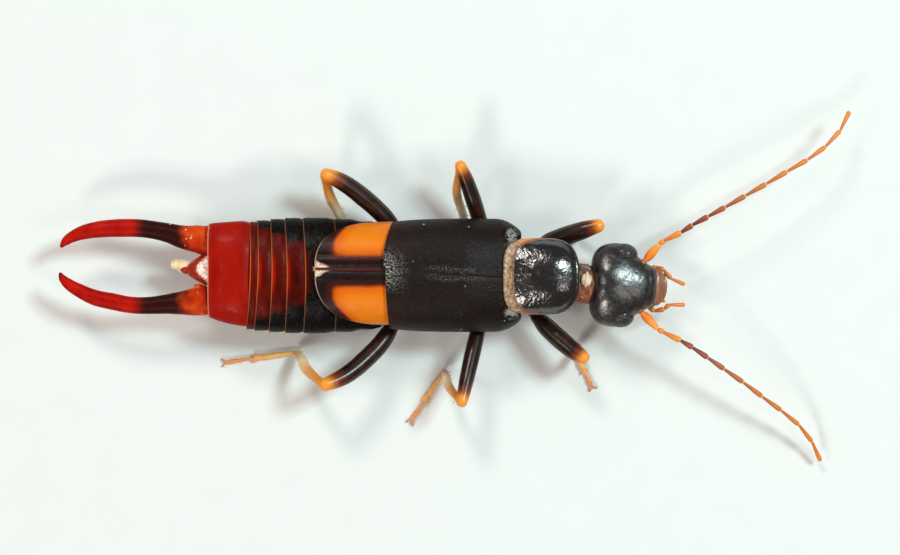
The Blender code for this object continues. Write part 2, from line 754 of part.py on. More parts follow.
def make_thigh(name, coxa, hip, middle, knee, thick, body):
    """The coxa under the body and the swollen thigh that grows from it."""
    root_rows = with_radii(
        [coxa, coxa.lerp(hip, 0.5), hip + (hip - coxa).normalized() * 0.10 * MM],
        (COXA_RADIUS, COXA_RADIUS, 0.8 * COXA_RADIUS),
    )
    root = limb(f"thigh_{name}_coxa", root_rows, "femur_brown", steps=1)
    points = [hip, hip.lerp(middle, 0.5), middle, middle.lerp(knee, 0.5), knee]
    points[1] += (middle - hip.lerp(knee, 0.5)) * 0.3
    points[3] += (middle - hip.lerp(knee, 0.5)) * 0.3
    rows = with_radii(points, [thick * share for share in (0.74, 0.96, 1.0, 0.94, 0.80)])
    thigh = fuse([limb(f"thigh_{name}", rows, "femur_brown", steps=2), root])
    fit_round(thigh, *body)
    return thigh


def make_shin(name, knee, middle, ankle, thigh):
    points = [knee, middle, ankle]
    rows = with_radii(points, (0.86 * TIBIA_RADIUS, TIBIA_RADIUS, 0.86 * TIBIA_RADIUS))
    shin = limb(f"shin_{name}", rows, "leg_orange", steps=3)
    fit_round(shin, thigh)
    cut_flat(shin)
    return shin


def make_foot(name, ankle, toe, shin):
    """The three tarsal segments and the two claws, flat underneath where they stand."""
    heel = Vector((ankle.x, ankle.y, SOLE_LEVEL))
    joints = [heel, heel.lerp(toe, 0.46), heel.lerp(toe, 0.62), toe]
    pieces = []
    for i, (start, end) in enumerate(zip(joints, joints[1:], strict=False)):
        back = (end - start).normalized() * (0.08 * MM if i else 0.0)
        thick = TARSUS_RADIUS * (1.0 - 0.05 * i)
        rows = with_radii([start - back, start.lerp(end, 0.7), end], (0.8 * thick, thick, 0.9 * thick))
        part = f"foot_{name}" if i == 0 else f"foot_{name}_bead_{i}"
        pieces.append(limb(part, rows, "leg_orange", steps=1, resolution=BEAD_SIDES))
    forward = (joints[-1] - joints[-2]).normalized()
    for i, turn in enumerate((-CLAW_SPREAD, CLAW_SPREAD)):
        aim = Matrix.Rotation(turn, 3, "Z") @ forward
        root = toe - forward * 0.10 * MM
        rows = with_radii([root, root + aim * (CLAW_LENGTH + 0.10 * MM)], (1.5 * CLAW_RADIUS, CLAW_RADIUS))
        pieces.append(limb(f"foot_{name}_claw_{i}", rows, "leg_orange", steps=1, resolution=1))
    foot = fuse(pieces)
    fit_round(foot, shin)
    cut_flat(foot)
    return foot


def make_leg(pair, side, body):
    """Thigh, shin and foot of one leg, each its own node."""
    *points, toe = LEGS[pair, side]
    coxa, hip, middle, knee, shin_middle, ankle = (Vector(point) * MM for point in points)
    toe = Vector((toe[0] * MM, toe[1] * MM, SOLE_LEVEL))
    name = f"{pair}_{side}"
    thigh = make_thigh(name, coxa, hip, middle, knee, FEMUR_RADIUS[pair], body)
    bend = knee + (hip - knee).normalized() * 0.14 * MM - Vector((0, 0, 0.08 * MM))
    shin = make_shin(name, bend, shin_middle, ankle, thigh)
    foot = make_foot(name, ankle, toe, shin)
    return [thigh, shin, foot]


def group_under(name, members, place=(0, 0, 0), yaw=0.0):
    """An empty that carries the members, placed and turned with them."""
    holder = bpy.data.objects.new(name, None)
    bpy.data.collections["earwig"].objects.link(holder)
    for member in members:
        member.parent = holder
    holder.location = place
    holder.rotation_euler = (0, 0, yaw)
    bpy.context.view_layer.update()
    return holder


def centre_on_origin(holder, members):
    """Moves the whole model so that the middle of its footprint is the origin."""
    corners = [m.matrix_world @ Vector(corner) for m in members for corner in m.bound_box]
    low = Vector(map(min, zip(*corners, strict=True)))
    high = Vector(map(max, zip(*corners, strict=True)))
    middle = (low + high) / 2
    holder.location = (-middle.x, -middle.y, 0.0)


def build():
    clear_scene()
    for name in ("earwig", "cutters"):
        bpy.context.scene.collection.children.link(bpy.data.collections.new(name))

    head = make_head()
    labrum, mouth = make_mouth(head)
    palps = [make_palp(side, head, labrum) for side in ("left", "right")]
    for palp in palps:
        fit_round(palp, *mouth)
    feelers = [make_feeler(side, head) for side in ("left", "right")]
    eyes = [make_eye(side, head) for side in ("left", "right")]
    head_parts = [head, labrum, *mouth, *palps, *feelers, *eyes]
    head_group = group_under("head_group", head_parts, HEAD_PLACE, HEAD_YAW)

    pronotum = make_pronotum()
    covers = [make_wing_cover(side, pronotum) for side in ("left", "right")]
    tips = [make_wing_tip(side) for side in ("left", "right")]
    thorax = make_thorax(covers)
    prothorax = make_prothorax(pronotum, thorax)
    neck = make_neck(head, prothorax, pronotum)
    abdomen = make_abdomen(thorax, tips)
    plate = make_last_plate()
    pygidium = make_pygidium(plate)
    arms = [make_forceps(side, plate, pygidium) for side in ("left", "right")]
    body_parts = [pronotum, *covers, *tips, thorax, prothorax, neck, abdomen, plate, *pygidium, *arms]

    legs = []
    for pair, side in LEGS:
        root = prothorax if pair == "front" else thorax
        legs += make_leg(pair, side, [root, *covers, abdomen])

    members = [*head_parts, *body_parts, *legs]
    for member in members:
        smooth(member)
    earwig = group_under("earwig_group", [head_group, *body_parts, *legs])
    centre_on_origin(earwig, members)


build()
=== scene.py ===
"""The visible earwig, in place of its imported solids: black wing covers, orange wing tips, red forceps.

Every piece is modelled in millimetres, with x from the hind edge of the neck shield, y from the midline
of the body and z from the floor, and is then shrunk to its place in the frame.
"""

import math
import random
from functools import cached_property
from itertools import pairwise

import bpy
from mathutils import Matrix, Vector


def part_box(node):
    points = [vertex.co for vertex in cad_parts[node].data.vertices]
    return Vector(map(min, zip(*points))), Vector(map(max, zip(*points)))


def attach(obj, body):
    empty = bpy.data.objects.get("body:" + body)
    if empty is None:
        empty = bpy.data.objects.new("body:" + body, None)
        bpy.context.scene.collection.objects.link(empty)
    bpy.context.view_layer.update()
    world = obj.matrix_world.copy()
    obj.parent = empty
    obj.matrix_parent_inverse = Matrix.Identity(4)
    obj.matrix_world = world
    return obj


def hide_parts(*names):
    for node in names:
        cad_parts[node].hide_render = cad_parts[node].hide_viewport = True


MM = 0.001
SIDES = {"left": 1.0, "right": -1.0}
UP = Vector((0, 0, 1))
UNIT = [Vector((0, 0, 0)), Vector((1, 0, 0))]

# Where the head sits, and how it turns from the midline. Its parts are modelled forwards from its hind edge.
HEAD = Matrix.Translation((2.227, -0.19, 1.64)) @ Matrix.Rotation(math.radians(-3.5), 4, "Z")
EYE_PLACE = Vector((0.93, 0.905, 0.05))
EYE_RADII = Vector((0.405, 0.335, 0.35))

FEELER_ROOT = Vector((1.565, 0.775, 0.09))
FEELER_SOCKET = [
    (1.36, 0.62, 0.07, 0.12), (1.46, 0.68, 0.08, 0.135), (1.53, 0.73, 0.085, 0.115),
    (1.60, 0.81, 0.095, 0.07),
]
FEELER_LENGTHS = (0.62, 0.17, 0.56, 0.39, 0.52, 0.57, 0.68, 0.71, 0.72, 0.71, 0.68, 0.69, 0.68)
# Degrees that each segment turns outwards from straight ahead.
FEELER_HEADINGS = {
    "left": (53, 41, 30, 37, 32, 32, 33, 33, 34, 33, 39, 50, 66),
    "right": (42, 30, 22, 27, 30, 31, 31, 33, 32, 35, 47, 60),
}
FEELER_STRETCH = {"left": 1.01, "right": 1.05}
# Degrees that the first segment rises and the last one sinks.
FEELER_PITCH = {"left": (10, -16), "right": (4, -23)}
# How dark each segment is, from the scape to the tip.
FEELER_TONE = (0.0, 0.05, 0.20, 0.95, 1.0, 0.85, 0.70, 0.55, 0.45, 0.35, 0.30, 0.25, 0.25)

# Joints of each palp.
PALPS = {
    "left": [
        (1.55, 0.46, -0.30), (1.92, 0.60, -0.34), (2.15, 0.54, -0.36), (2.39, 0.29, -0.40),
        (2.83, 0.14, -0.52),
    ],
    "right": [
        (1.55, -0.46, -0.30), (1.95, -0.70, -0.34), (2.24, -0.63, -0.36), (2.38, -0.49, -0.40),
        (2.87, -0.46, -0.54),
    ],
}

# Middle of the neck shield.
SHIELD_X, SHIELD_Y = 0.745, 0.02

WING_MIDDLE = 0.05
WING_TOP = 2.735
WING_DEPTH = 1.10
WING_HALF_WIDTH = 1.672
# Hind edge of each wing cover at the seam and at its outer edge, and how late it gets there.
COVER_REAR = {"left": (-3.915, -3.63, 1.8), "right": (-3.915, -3.72, 0.6)}
# Where the seam lies across the body, at the front and at the hind end of the covers.
SUTURE = (-0.05, 0.236)
TIP_REAR = -5.87
# How square the outline of a wing tip is: 2 would be an ellipse.
TIP_POWER = 2.6
TIP_HALF_WIDTH = {"left": 1.40, "right": 1.64}

# Front edge, hind edge, half width and half width of the red middle of each ring of the abdomen.
RINGS = [
    (-3.60, -4.10, 1.47, 0.10),
    (-4.10, -4.70, 1.60, 0.10),
    (-4.70, -5.34, 1.67, 0.10),
    (-5.34, -6.26, 1.71, 0.60),
    (-6.26, -6.80, 1.70, 0.96),
    (-6.80, -7.245, 1.67, 1.17),
    (-7.245, -7.655, 1.63, 1.34),
    (-7.655, -7.88, 1.59, 1.90),
]
ABDOMEN_MIDDLE = 0.045
ABDOMEN_LEVEL = 1.56
ABDOMEN_FLATNESS = 0.505
PLATE_THICKNESS = 0.05
# How much further forward a ring ends in its middle than at its sides.
RING_BOW = 0.11
LAST_PLATE_LEVEL = 1.56

FORCEPS_LEVEL = 1.50
# Middle line and radius of each arm.
FORCEPS = {
    "left": [
        (-8.82, 1.08, 1.50, 0.42), (-9.05, 1.10, 1.50, 0.46), (-9.40, 1.13, 1.50, 0.41),
        (-9.80, 1.18, 1.50, 0.355), (-10.20, 1.29, 1.51, 0.298), (-10.60, 1.375, 1.51, 0.272),
        (-11.10, 1.44, 1.52, 0.272), (-11.65, 1.445, 1.53, 0.274), (-12.20, 1.415, 1.52, 0.258),
        (-12.70, 1.33, 1.50, 0.224), (-13.05, 1.20, 1.48, 0.180), (-13.28, 1.05, 1.46, 0.135),
        (-13.43, 0.88, 1.44, 0.05),
    ],
    "right": [
        (-8.82, -0.66, 1.50, 0.42), (-9.08, -0.70, 1.50, 0.46), (-9.50, -0.745, 1.50, 0.405),
        (-9.90, -0.77, 1.51, 0.345), (-10.35, -0.805, 1.52, 0.288), (-10.80, -0.84, 1.52, 0.258),
        (-11.35, -0.825, 1.53, 0.252), (-11.90, -0.72, 1.52, 0.256), (-12.40, -0.61, 1.52, 0.240),
        (-12.85, -0.41, 1.50, 0.210), (-13.20, -0.20, 1.48, 0.170), (-13.38, -0.02, 1.46, 0.115),
        (-13.455, 0.13, 1.44, 0.05),
    ],
}

# Root of the coxa, hip, middle of the thigh, knee, middle of the shin, ankle and toe of each leg.
LEGS = {
    ("front", "left"): [
        (0.50, 0.42, 1.15), (0.60, 0.86, 0.92), (1.50, 1.21, 1.30), (2.62, 1.56, 1.60),
        (2.28, 1.44, 0.95), (1.90, 1.28, 0.26), (1.02, 0.72, 0.10),
    ],
    ("front", "right"): [
        (0.50, -0.42, 1.15), (0.48, -0.98, 0.92), (1.33, -1.84, 1.30), (2.15, -2.47, 1.60),
        (2.02, -2.38, 0.95), (1.86, -2.28, 0.26), (2.33, -3.24, 0.10),
    ],
    ("mid", "left"): [
        (-0.75, 0.45, 1.10), (-0.85, 1.00, 0.85), (-1.22, 2.25, 1.40), (-1.66, 3.38, 2.00),
        (-1.72, 2.52, 1.20), (-1.42, 1.50, 0.26), (-2.20, 0.12, 0.10),
    ],
    ("mid", "right"): [
        (-0.80, -0.45, 1.10), (-0.94, -1.00, 0.85), (-1.26, -2.30, 1.40), (-1.60, -3.80, 2.00),
        (-1.93, -3.28, 1.15), (-2.09, -2.84, 0.26), (-3.05, -4.27, 0.10),
    ],
    ("hind", "left"): [
        (-3.00, 0.50, 1.05), (-3.25, 1.05, 0.84), (-4.45, 2.33, 1.45), (-5.68, 3.06, 2.10),
        (-5.46, 2.35, 1.20), (-5.05, 1.52, 0.26), (-7.00, 1.00, 0.10),
    ],
    ("hind", "right"): [
        (-3.00, -0.50, 1.05), (-3.40, -1.05, 0.84), (-4.42, -2.44, 1.45), (-5.72, -3.22, 2.10),
        (-6.16, -2.75, 1.20), (-6.50, -2.26, 0.26), (-8.62, -2.56, 0.10),
    ],
}
THIGH_RADIUS = {"front": 0.295, "mid": 0.245, "hind": 0.285}
SHIN_RADIUS = {"front": 0.135, "mid": 0.14, "hind": 0.165}
FOOT_RADIUS = 0.092


# Work at the bench


def take(*pieces):
    """Selects these pieces alone."""
    bpy.ops.object.select_all(action="DESELECT")
    for piece in pieces:
        piece.select_set(True)
    bpy.context.view_layer.objects.active = pieces[0]
    return pieces[0]


def open_up(piece):
    take(piece)
    bpy.ops.object.mode_set(mode="EDIT")
    bpy.ops.mesh.select_mode(type="FACE")
    bpy.ops.mesh.select_all(action="SELECT")


def close_up():
    bpy.ops.object.mode_set(mode="OBJECT")


def named(name):
    """The piece that was just added, with its place applied to its mesh."""
    piece = bpy.context.active_object
    piece.name = piece.data.name = name
    take(piece)
    bpy.ops.object.transform_apply(location=True, rotation=True, scale=True)
    return piece


def drawn_out(name, sections, sides):
    """A body drawn out of a disc along X: each section is (x, y, z, half width, half height)."""
    x, y, z, wide, high = sections[0]
    bpy.ops.mesh.primitive_circle_add(
        vertices=sides, fill_type="NGON", location=(x, y, z), rotation=(0, math.radians(90), 0)
    )
    piece = named(name)
    open_up(piece)
    bpy.ops.transform.resize(value=(1, wide, high), center_override=(x, y, z))
    for section in sections[1:]:
        nx, ny, nz, new_wide, new_high = section
        bpy.ops.mesh.extrude_region_move(TRANSFORM_OT_translate={"value": (nx - x, ny - y, nz - z)})
        bpy.ops.transform.resize(
            value=(1, new_wide / wide, new_high / high), center_override=(nx, ny, nz)
        )
        x, y, z, wide, high = section
    bpy.ops.mesh.select_all(action="SELECT")
    bpy.ops.mesh.normals_make_consistent(inside=False)
    close_up()
    return piece


def finished_by(piece, kind, **settings):
    """Adds one modifier and applies it."""
    take(piece)
    modifier = piece.modifiers.new("finish", kind)
    for key, value in settings.items():
        setattr(modifier, key, value)
    bpy.ops.object.modifier_apply(modifier=modifier.name)
    return piece


def smoothed(piece, levels=2):
    finished_by(piece, "SUBSURF", levels=levels, render_levels=levels)
    bpy.ops.object.shade_smooth()
    return piece


def swelled(name, rows, sides, y=lambda x: 0, z=lambda x: 0):
    """A smooth body along X through rows of (x, half width, half height)."""
    return smoothed(drawn_out(name, [(x, y(x), z(x), w, h) for x, w, h in rows], sides), 2)


def reshape(piece, move):
    """Pushes every point of the mesh to where move says, as a sculptor would."""
    for point in piece.data.vertices:
        point.co = move(point.co.copy())
    piece.data.update()
    return piece


# Depth and width of the steps of a domed end, as shares of its radius.
DOME = ((0, 0.38), (0.16, 0.72), (0.62, 0.98))


def rounded(rows):
    """The rows of a limb with its two ends drawn in to domes."""
    for _ in range(2):
        tip, radius = Vector(rows[0][:3]), rows[0][3]
        inward = (Vector(rows[1][:3]) - tip).normalized()
        dome = [(*(tip + inward * radius * deep), radius * share) for deep, share in DOME]
        rows = (dome + rows[1:])[::-1]
    return rows


def limb(name, rows, sides=4, steps=4):
    """A limb along a curve through rows of (x, y, z, radius)."""
    spine = [Vector(row[:3]) for row in rows]
    rows = rounded(rows)
    bpy.ops.curve.primitive_bezier_curve_add(location=(0, 0, 0))
    line = bpy.context.active_object
    bpy.ops.object.mode_set(mode="EDIT")
    bpy.ops.curve.select_all(action="SELECT")
    if len(rows) > 2:
        bpy.ops.curve.subdivide(number_cuts=len(rows) - 2)
    bpy.ops.object.mode_set(mode="OBJECT")
    spline = line.data.splines[0]
    for knot, row in zip(spline.bezier_points, rows, strict=True):
        knot.co = row[:3]
        knot.radius = row[3]
        knot.handle_left_type = knot.handle_right_type = "AUTO"
    line.data.bevel_depth = 1.0
    line.data.bevel_resolution = sides
    line.data.resolution_u = steps
    line.data.use_fill_caps = True
    take(line)
    bpy.ops.object.convert(target="MESH")
    piece = named(name)
    open_up(piece)
    bpy.ops.mesh.remove_doubles(threshold=0.0002)
    bpy.ops.mesh.normals_make_consistent(inside=False)
    close_up()
    smoothed(piece, 1)
    mark_along(piece, spine)
    return piece


def noted(piece, name, value_at):
    """Notes a value on each point, worked out from its place."""
    note = piece.data.attributes.get(name) or piece.data.attributes.new(name, "FLOAT", "POINT")
    for point, entry in zip(piece.data.vertices, note.data, strict=True):
        entry.value = value_at(point.co)
    return piece


def note_value(piece, name, value):
    return noted(piece, name, lambda co: value)


def mark_along(piece, spine):
    """Notes on each point how far along the limb it lies, from 0 to 1."""
    lengths = [0.0]
    for a, b in pairwise(spine):
        lengths.append(lengths[-1] + (b - a).length)

    def share(co):
        near = []
        for i, (a, b) in enumerate(pairwise(spine)):
            run = b - a
            t = min(1.0, max(0.0, (co - a).dot(run) / run.length_squared))
            near.append(((a + run * t - co).length, lengths[i] + t * run.length))
        return min(near, key=lambda entry: entry[0])[1] / lengths[-1]

    return noted(piece, "along", share)


def joined(name, pieces):
    take(*pieces)
    if len(pieces) > 1:
        bpy.ops.object.join()
    return named(name)


def copied(piece, name, matrix):
    """A copy of a model piece with its own mesh, set in place by the matrix."""
    copy = piece.copy()
    copy.data = piece.data.copy()
    copy.name = copy.data.name = name
    bpy.context.collection.objects.link(copy)
    copy.data.transform(matrix)
    return copy


def thrown_away(*pieces):
    for piece in pieces:
        bpy.data.objects.remove(piece)


def aimed(start, end, thick, wide=None):
    """The matrix that lays a piece of unit length along X from start to end."""
    run = end - start
    turn = run.to_track_quat("X", "Z").to_matrix().to_4x4()
    size = Matrix.Diagonal((run.length, wide or thick, thick, 1.0))
    return Matrix.Translation(start) @ turn @ size


def sheet(name, along, across, place, thickness):
    """A curved sheet: a grid set by place(u, v), thickened inwards."""
    bpy.ops.mesh.primitive_grid_add(x_subdivisions=along, y_subdivisions=across, size=2.0)
    piece = named(name)
    reshape(piece, lambda co: place((1 - co.x) / 2, (co.y + 1) / 2))
    open_up(piece)
    bpy.ops.mesh.normals_make_consistent(inside=False)
    close_up()
    if sum(face.normal.z * face.area for face in piece.data.polygons) < 0:
        piece.data.flip_normals()
    finished_by(piece, "SOLIDIFY", thickness=thickness, offset=-1.0, use_even_offset=False)
    return smoothed(piece, 1)


def blend(low, high, value):
    """A smooth step from 0 at low to 1 at high."""
    t = min(1.0, max(0.0, (value - low) / (high - low)))
    return t * t * (3 - 2 * t)


def hump(value, width):
    return math.exp(-((value / width) ** 2))


def settled(piece, finish, slot, *nodes):
    """Shrinks the finished piece into its place in the frame and ties it to the body."""
    take(piece)
    bpy.ops.object.transform_apply(location=True, rotation=True, scale=True)
    piece.data.transform(Matrix.Scale(MM, 4) @ Matrix.Translation(HOME))
    piece.data.materials.clear()
    piece.data.materials.append(finish)
    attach(piece, "root")
    if nodes:
        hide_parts(*nodes)
    return piece


# Finishes


def sum_of(operation):
    """The method that works out one kind of sum."""

    def work(self, other=0.0):
        return self.finish.node("ShaderNodeMath", {0: self, 1: other}, operation=operation)

    return work


class Wire:
    """A value on its way through a material, which can be written in sums."""

    def __init__(self, finish, socket):
        self.finish = finish
        self.socket = socket

    __add__ = __radd__ = sum_of("ADD")
    __sub__ = sum_of("SUBTRACT")
    __mul__ = __rmul__ = sum_of("MULTIPLY")
    __truediv__ = sum_of("DIVIDE")
    __pow__ = sum_of("POWER")
    __abs__ = sum_of("ABSOLUTE")
    most = sum_of("MAXIMUM")

    def __rsub__(self, other):
        return self.finish.node("ShaderNodeMath", {0: other, 1: self}, operation="SUBTRACT")

    def rise(self, low, high):
        """A smooth step from 0 where the value is low to 1 where it is high."""
        steps = {0: self, 1: low, 2: high}
        return self.finish.node("ShaderNodeMapRange", steps, interpolation_type="SMOOTHSTEP")


class Finish:
    """A material under construction."""

    def __init__(self, name, **sockets):
        self.material = bpy.data.materials.new(name)
        self.material.use_nodes = True
        self.tree = self.material.node_tree
        self.shader = self.tree.nodes["Principled BSDF"]
        self.set(**sockets)

    def set(self, **sockets):
        for key, value in sockets.items():
            self.join(value, self.shader.inputs[key.replace("_", " ").title().replace("Ior", "IOR")])

    def join(self, value, socket):
        if isinstance(value, Wire):
            self.tree.links.new(value.socket, socket)
        elif isinstance(value, tuple) and len(value) == 3 and len(socket.default_value) == 4:
            socket.default_value = (*value, 1.0)
        else:
            socket.default_value = value

    def node(self, kind, inputs=(), out=0, stops=None, **settings):
        made = self.tree.nodes.new(kind)
        for key, value in settings.items():
            setattr(made, key, value)
        if stops:
            ramp = made.color_ramp
            while len(ramp.elements) < len(stops):
                ramp.elements.new(0.5)
            for element, (place, colour) in zip(ramp.elements, stops, strict=True):
                element.position = place
                element.color = (*colour, 1.0)
        for key, value in dict(inputs).items():
            self.join(value, made.inputs[key])
        return Wire(self, made.outputs[out])

    @cached_property
    def where(self):
        """The point's place on the animal, in millimetres."""
        here = self.node("ShaderNodeTexCoord", out="Object")
        scaled = self.node("ShaderNodeVectorMath", {0: here, 1: (1 / MM,) * 3}, operation="MULTIPLY")
        return self.node("ShaderNodeVectorMath", {0: scaled, 1: tuple(HOME)}, operation="SUBTRACT")

    def axes(self):
        """That place along x, y and z."""
        made = self.tree.nodes.new("ShaderNodeSeparateXYZ")
        self.join(self.where, made.inputs[0])
        return [Wire(self, output) for output in made.outputs]

    def note(self, name):
        return self.node("ShaderNodeAttribute", out="Fac", attribute_name=name)

    def grain(self, per_mm, detail=3.0, rough=0.55, stretch=(1, 1, 1), where=None):
        where = where or self.where
        if stretch != (1, 1, 1):
            where = self.node("ShaderNodeVectorMath", {0: where, 1: stretch}, operation="MULTIPLY")
        settings = {"Vector": where, "Scale": per_mm, "Detail": detail, "Roughness": rough}
        return self.node("ShaderNodeTexNoise", settings)

    def soft_least(self, a, b, blend_over):
        """The smaller of two values, rounded off where they meet."""
        return self.node("ShaderNodeMath", {0: a, 1: b, 2: blend_over}, operation="SMOOTH_MIN")

    def cells(self, per_mm):
        return self.node("ShaderNodeTexVoronoi", {"Vector": self.where, "Scale": per_mm})

    def mix(self, share, a, b):
        return self.node("ShaderNodeMix", {0: share, 6: a, 7: b}, out=2, data_type="RGBA")

    def done(self, colour, roughness, height, depth_mm):
        """The finished material, with this relief pressed into it."""
        bump = self.node("ShaderNodeBump", {"Height": height, "Distance": depth_mm * MM})
        self.set(base_color=colour, roughness=roughness, normal=bump)
        return self.material


def rgb(*shown):
    """A colour as the photo shows it, for the shader."""
    return tuple(((c / 255 + 0.055) / 1.055) ** 2.4 if c > 10 else c / 255 / 12.92 for c in shown)


def black_cuticle(name, gloss):
    """Finely shagreened black cuticle that shines greyish."""
    finish = Finish(name, ior=1.6, specular_ior_level=0.85)
    fine = finish.grain(9, 4, 0.7)
    broad = finish.grain(2.4, 3)
    relief = finish.grain(9, 1.5, 0.5)
    base = finish.mix(broad, rgb(5, 5, 5), rgb(15, 13, 12))
    # Grey specks painted into the colour as a sheen.
    colour = finish.mix(fine.rise(0.52, 0.78) * 0.5, base, rgb(58, 55, 54))
    return finish.done(colour, gloss + fine.rise(0.25, 0.75) * 0.16, relief, 0.0085)


def eye_black():
    finish = Finish("eye_facets", ior=1.5, coat_weight=0.3, coat_roughness=0.15)
    facets = finish.cells(15)
    glint = facets.rise(0.30, 0.08)
    colour = finish.mix(glint, rgb(20, 20, 20), rgb(92, 90, 88))
    return finish.done(colour, 0.44 - glint * 0.22, 1 - facets, 0.030)


def pronotum_black():
    """Black disc with a pale leathery margin behind and round the hind corners."""
    finish = Finish("neck_shield", ior=1.6, specular_ior_level=0.9)
    x, y, _ = finish.axes()
    fine = finish.grain(10, 4, 0.7)
    broad = finish.grain(2.0, 3)
    turn = finish.node("ShaderNodeMath", {0: y, 1: x - 0.85}, operation="ARCTAN2")
    far = (y * y + (x - 0.85) * (x - 0.85)) ** 0.5
    spread = finish.node("ShaderNodeCombineXYZ", {0: turn * 1.3, 1: far * 0.6})
    streaks = finish.grain(6.5, 2, 0.5, where=spread)
    across = abs(y - SHIELD_Y) / (1.085 - x.rise(0.95, 0.35) * 0.07)
    forward = abs(x - 0.94) / 0.975
    outline = across**3.4 + (forward**3.4) * x.rise(1.5, 0.9)
    edge = (outline + (fine - 0.5) * 0.16).rise(1.01, 1.12)
    line = edge * outline.rise(1.45, 1.15)
    base = finish.mix(broad, rgb(4, 4, 4), rgb(13, 12, 12))
    # Grey specks painted into the dark disc as a sheen.
    dark = finish.mix(fine.rise(0.54, 0.80) * 0.4, base, rgb(60, 60, 60))
    pale = finish.mix(fine.rise(0.36, 0.64), rgb(98, 60, 28), rgb(186, 154, 110))
    warm = finish.mix(y.rise(0.2, 0.8), rgb(138, 78, 40), rgb(226, 138, 44))
    orange = finish.mix(x.rise(0.0, 0.30), pale, warm)
    margin = finish.mix(line * 0.8, orange, rgb(88, 36, 16))
    combed = (streaks - 0.5) * far.rise(0.45, 0.80) * x.rise(1.25, 0.75)
    relief = combed + (finish.grain(7, 1.5) - 0.5) * 0.9
    return finish.done(finish.mix(edge, dark, margin), 0.13 + fine * 0.17 + edge * 0.28, relief, 0.017)


def cover_black():
    """Leathery black-brown wing cover, matt, with pale streaks of very fine lying hairs that are partly a
    painted sheen, a pale dusting at its hind corner that is partly dust and partly a painted sheen, and
    painted highlights on its shoulders.
    """
    finish = Finish("wing_cover_leather", ior=1.45, specular_ior_level=0.22)
    x, y, _ = finish.axes()
    pores = finish.cells(11)
    fine = finish.grain(10, 4, 0.7, stretch=(0.8, 1.2, 1))
    broad = finish.grain(1.2, 3)
    hairs = finish.grain(20, 3, stretch=(0.3, 1.4, 1.0))
    base = finish.mix(broad, rgb(9, 3, 2), rgb(23, 9, 6))
    warm = x.rise(-2.6, -3.9) * abs(y).rise(0.5, 1.4)
    base = finish.mix(warm * 0.7, base, rgb(40, 9, 6))
    # Pale streaks of the lying hairs, partly their own tone and partly a painted sheen.
    hair = hairs.rise(0.54, 0.76) * 0.34
    base = finish.mix(hair, base, rgb(76, 56, 46))
    # Pale dusting near the hind end of the seam, a faint band along the seam and a pale line at the hind
    # edge by the seam: partly dust and partly a painted sheen.
    dust_and_sheen_grain = finish.grain(19, 2, 0.7).rise(0.48, 0.60)
    seam = abs(y - x * (SUTURE[1] - SUTURE[0]) / COVER_REAR["left"][0] - SUTURE[0]) + (broad - 0.5) * 0.4
    dust_and_sheen = x.rise(-3.0, -3.85) * seam.rise(0.80, 0.05)
    dust_and_sheen = dust_and_sheen.most(abs(x + 1.8).rise(1.2, 0.2) * abs(seam - 0.10).rise(0.13, 0.0) * 0.26)
    dust_and_sheen = dust_and_sheen * dust_and_sheen_grain * 0.72
    dust_and_sheen = dust_and_sheen.most((x + fine * 0.06).rise(-3.85, -3.90) * seam.rise(0.9, 0.5) * 0.85)
    # Sparse pale specks, partly dust and partly painted glints.
    specks = finish.cells(3.4).rise(0.13, 0.08) * finish.grain(1.7, 2).rise(0.50, 0.58)
    # Painted highlight: irregular grey patches on the shoulders, standing in for their sheen.
    painted_shoulder_highlight = ((x + 0.12) * (x + 0.12) + (abs(y - 0.09) - 1.13) * (abs(y - 0.09) - 1.13)) ** 0.5
    painted_shoulder_highlight = (painted_shoulder_highlight + (fine - 0.5) * 0.16 + (broad - 0.5) * 0.24).rise(0.24, 0.10)
    painted_shoulder_highlight = painted_shoulder_highlight * finish.grain(9, 2, 0.6).rise(0.36, 0.56)
    base = finish.mix(painted_shoulder_highlight * 0.62, base, rgb(172, 174, 174))
    base = finish.mix(dust_and_sheen.most(specks * 0.8), base, rgb(178, 176, 170))
    shoulder = x.rise(-0.50, -0.25) * abs(y - 0.05).rise(0.80, 1.0)
    rough = 0.40 + fine * 0.26 - dust_and_sheen * 0.1 - shoulder * 0.24
    return finish.done(base, rough, finish.grain(8, 1.5) + pores.rise(0.05, 0.5) * 0.2, 0.016)


def tip_orange(side, inner, rear, outer):
    """Folded hind wing: an orange patch beside a black seam, with a pale hem and tip."""
    finish = Finish(f"wing_tip_membrane_{side}", ior=1.45, specular_ior_level=0.2)
    x, y, _ = finish.axes()
    wander = finish.grain(2.4, 4) - 0.5
    fine = finish.grain(18, 4)
    away = abs(y - SUTURE[1])
    margin = (x + 5.04) * 0.95 + outer - away
    inside = finish.soft_least(away - inner, margin, 0.40)
    inside = finish.soft_least(inside, (x - rear) * 0.85, 0.35) + wander * 0.05
    patch = inside.rise(-0.10, 0.05)
    halo = inside.rise(-0.28, 0.0)
    black = finish.mix(fine, rgb(10, 4, 4), rgb(30, 12, 11))
    brown = finish.mix(halo * 0.8, black, rgb(84, 24, 8))
    brown = finish.mix(away.rise(0.075, 0.03) * 0.6, brown, rgb(92, 36, 20))
    orange = finish.mix(inside.rise(0.0, 0.35), rgb(206, 84, 5), rgb(232, 129, 14))
    orange = finish.mix(wander + 0.4, orange, rgb(224, 114, 9))
    colour = finish.mix(patch, brown, orange)
    tip = (away + (x + 5.88) * 0.46 + wander * 0.2).rise(0.30, 0.21) * away.rise(0.03, 0.06)
    pale = finish.mix(fine.rise(0.35, 0.65), rgb(190, 140, 90), rgb(248, 230, 214))
    colour = finish.mix(tip, colour, pale)
    hem = finish.note("hem")
    colour = finish.mix(hem.rise(0.042, 0.022) * 0.85, colour, rgb(176, 146, 122))
    return finish.done(colour, 0.30 + fine * 0.18, wander, 0.03)


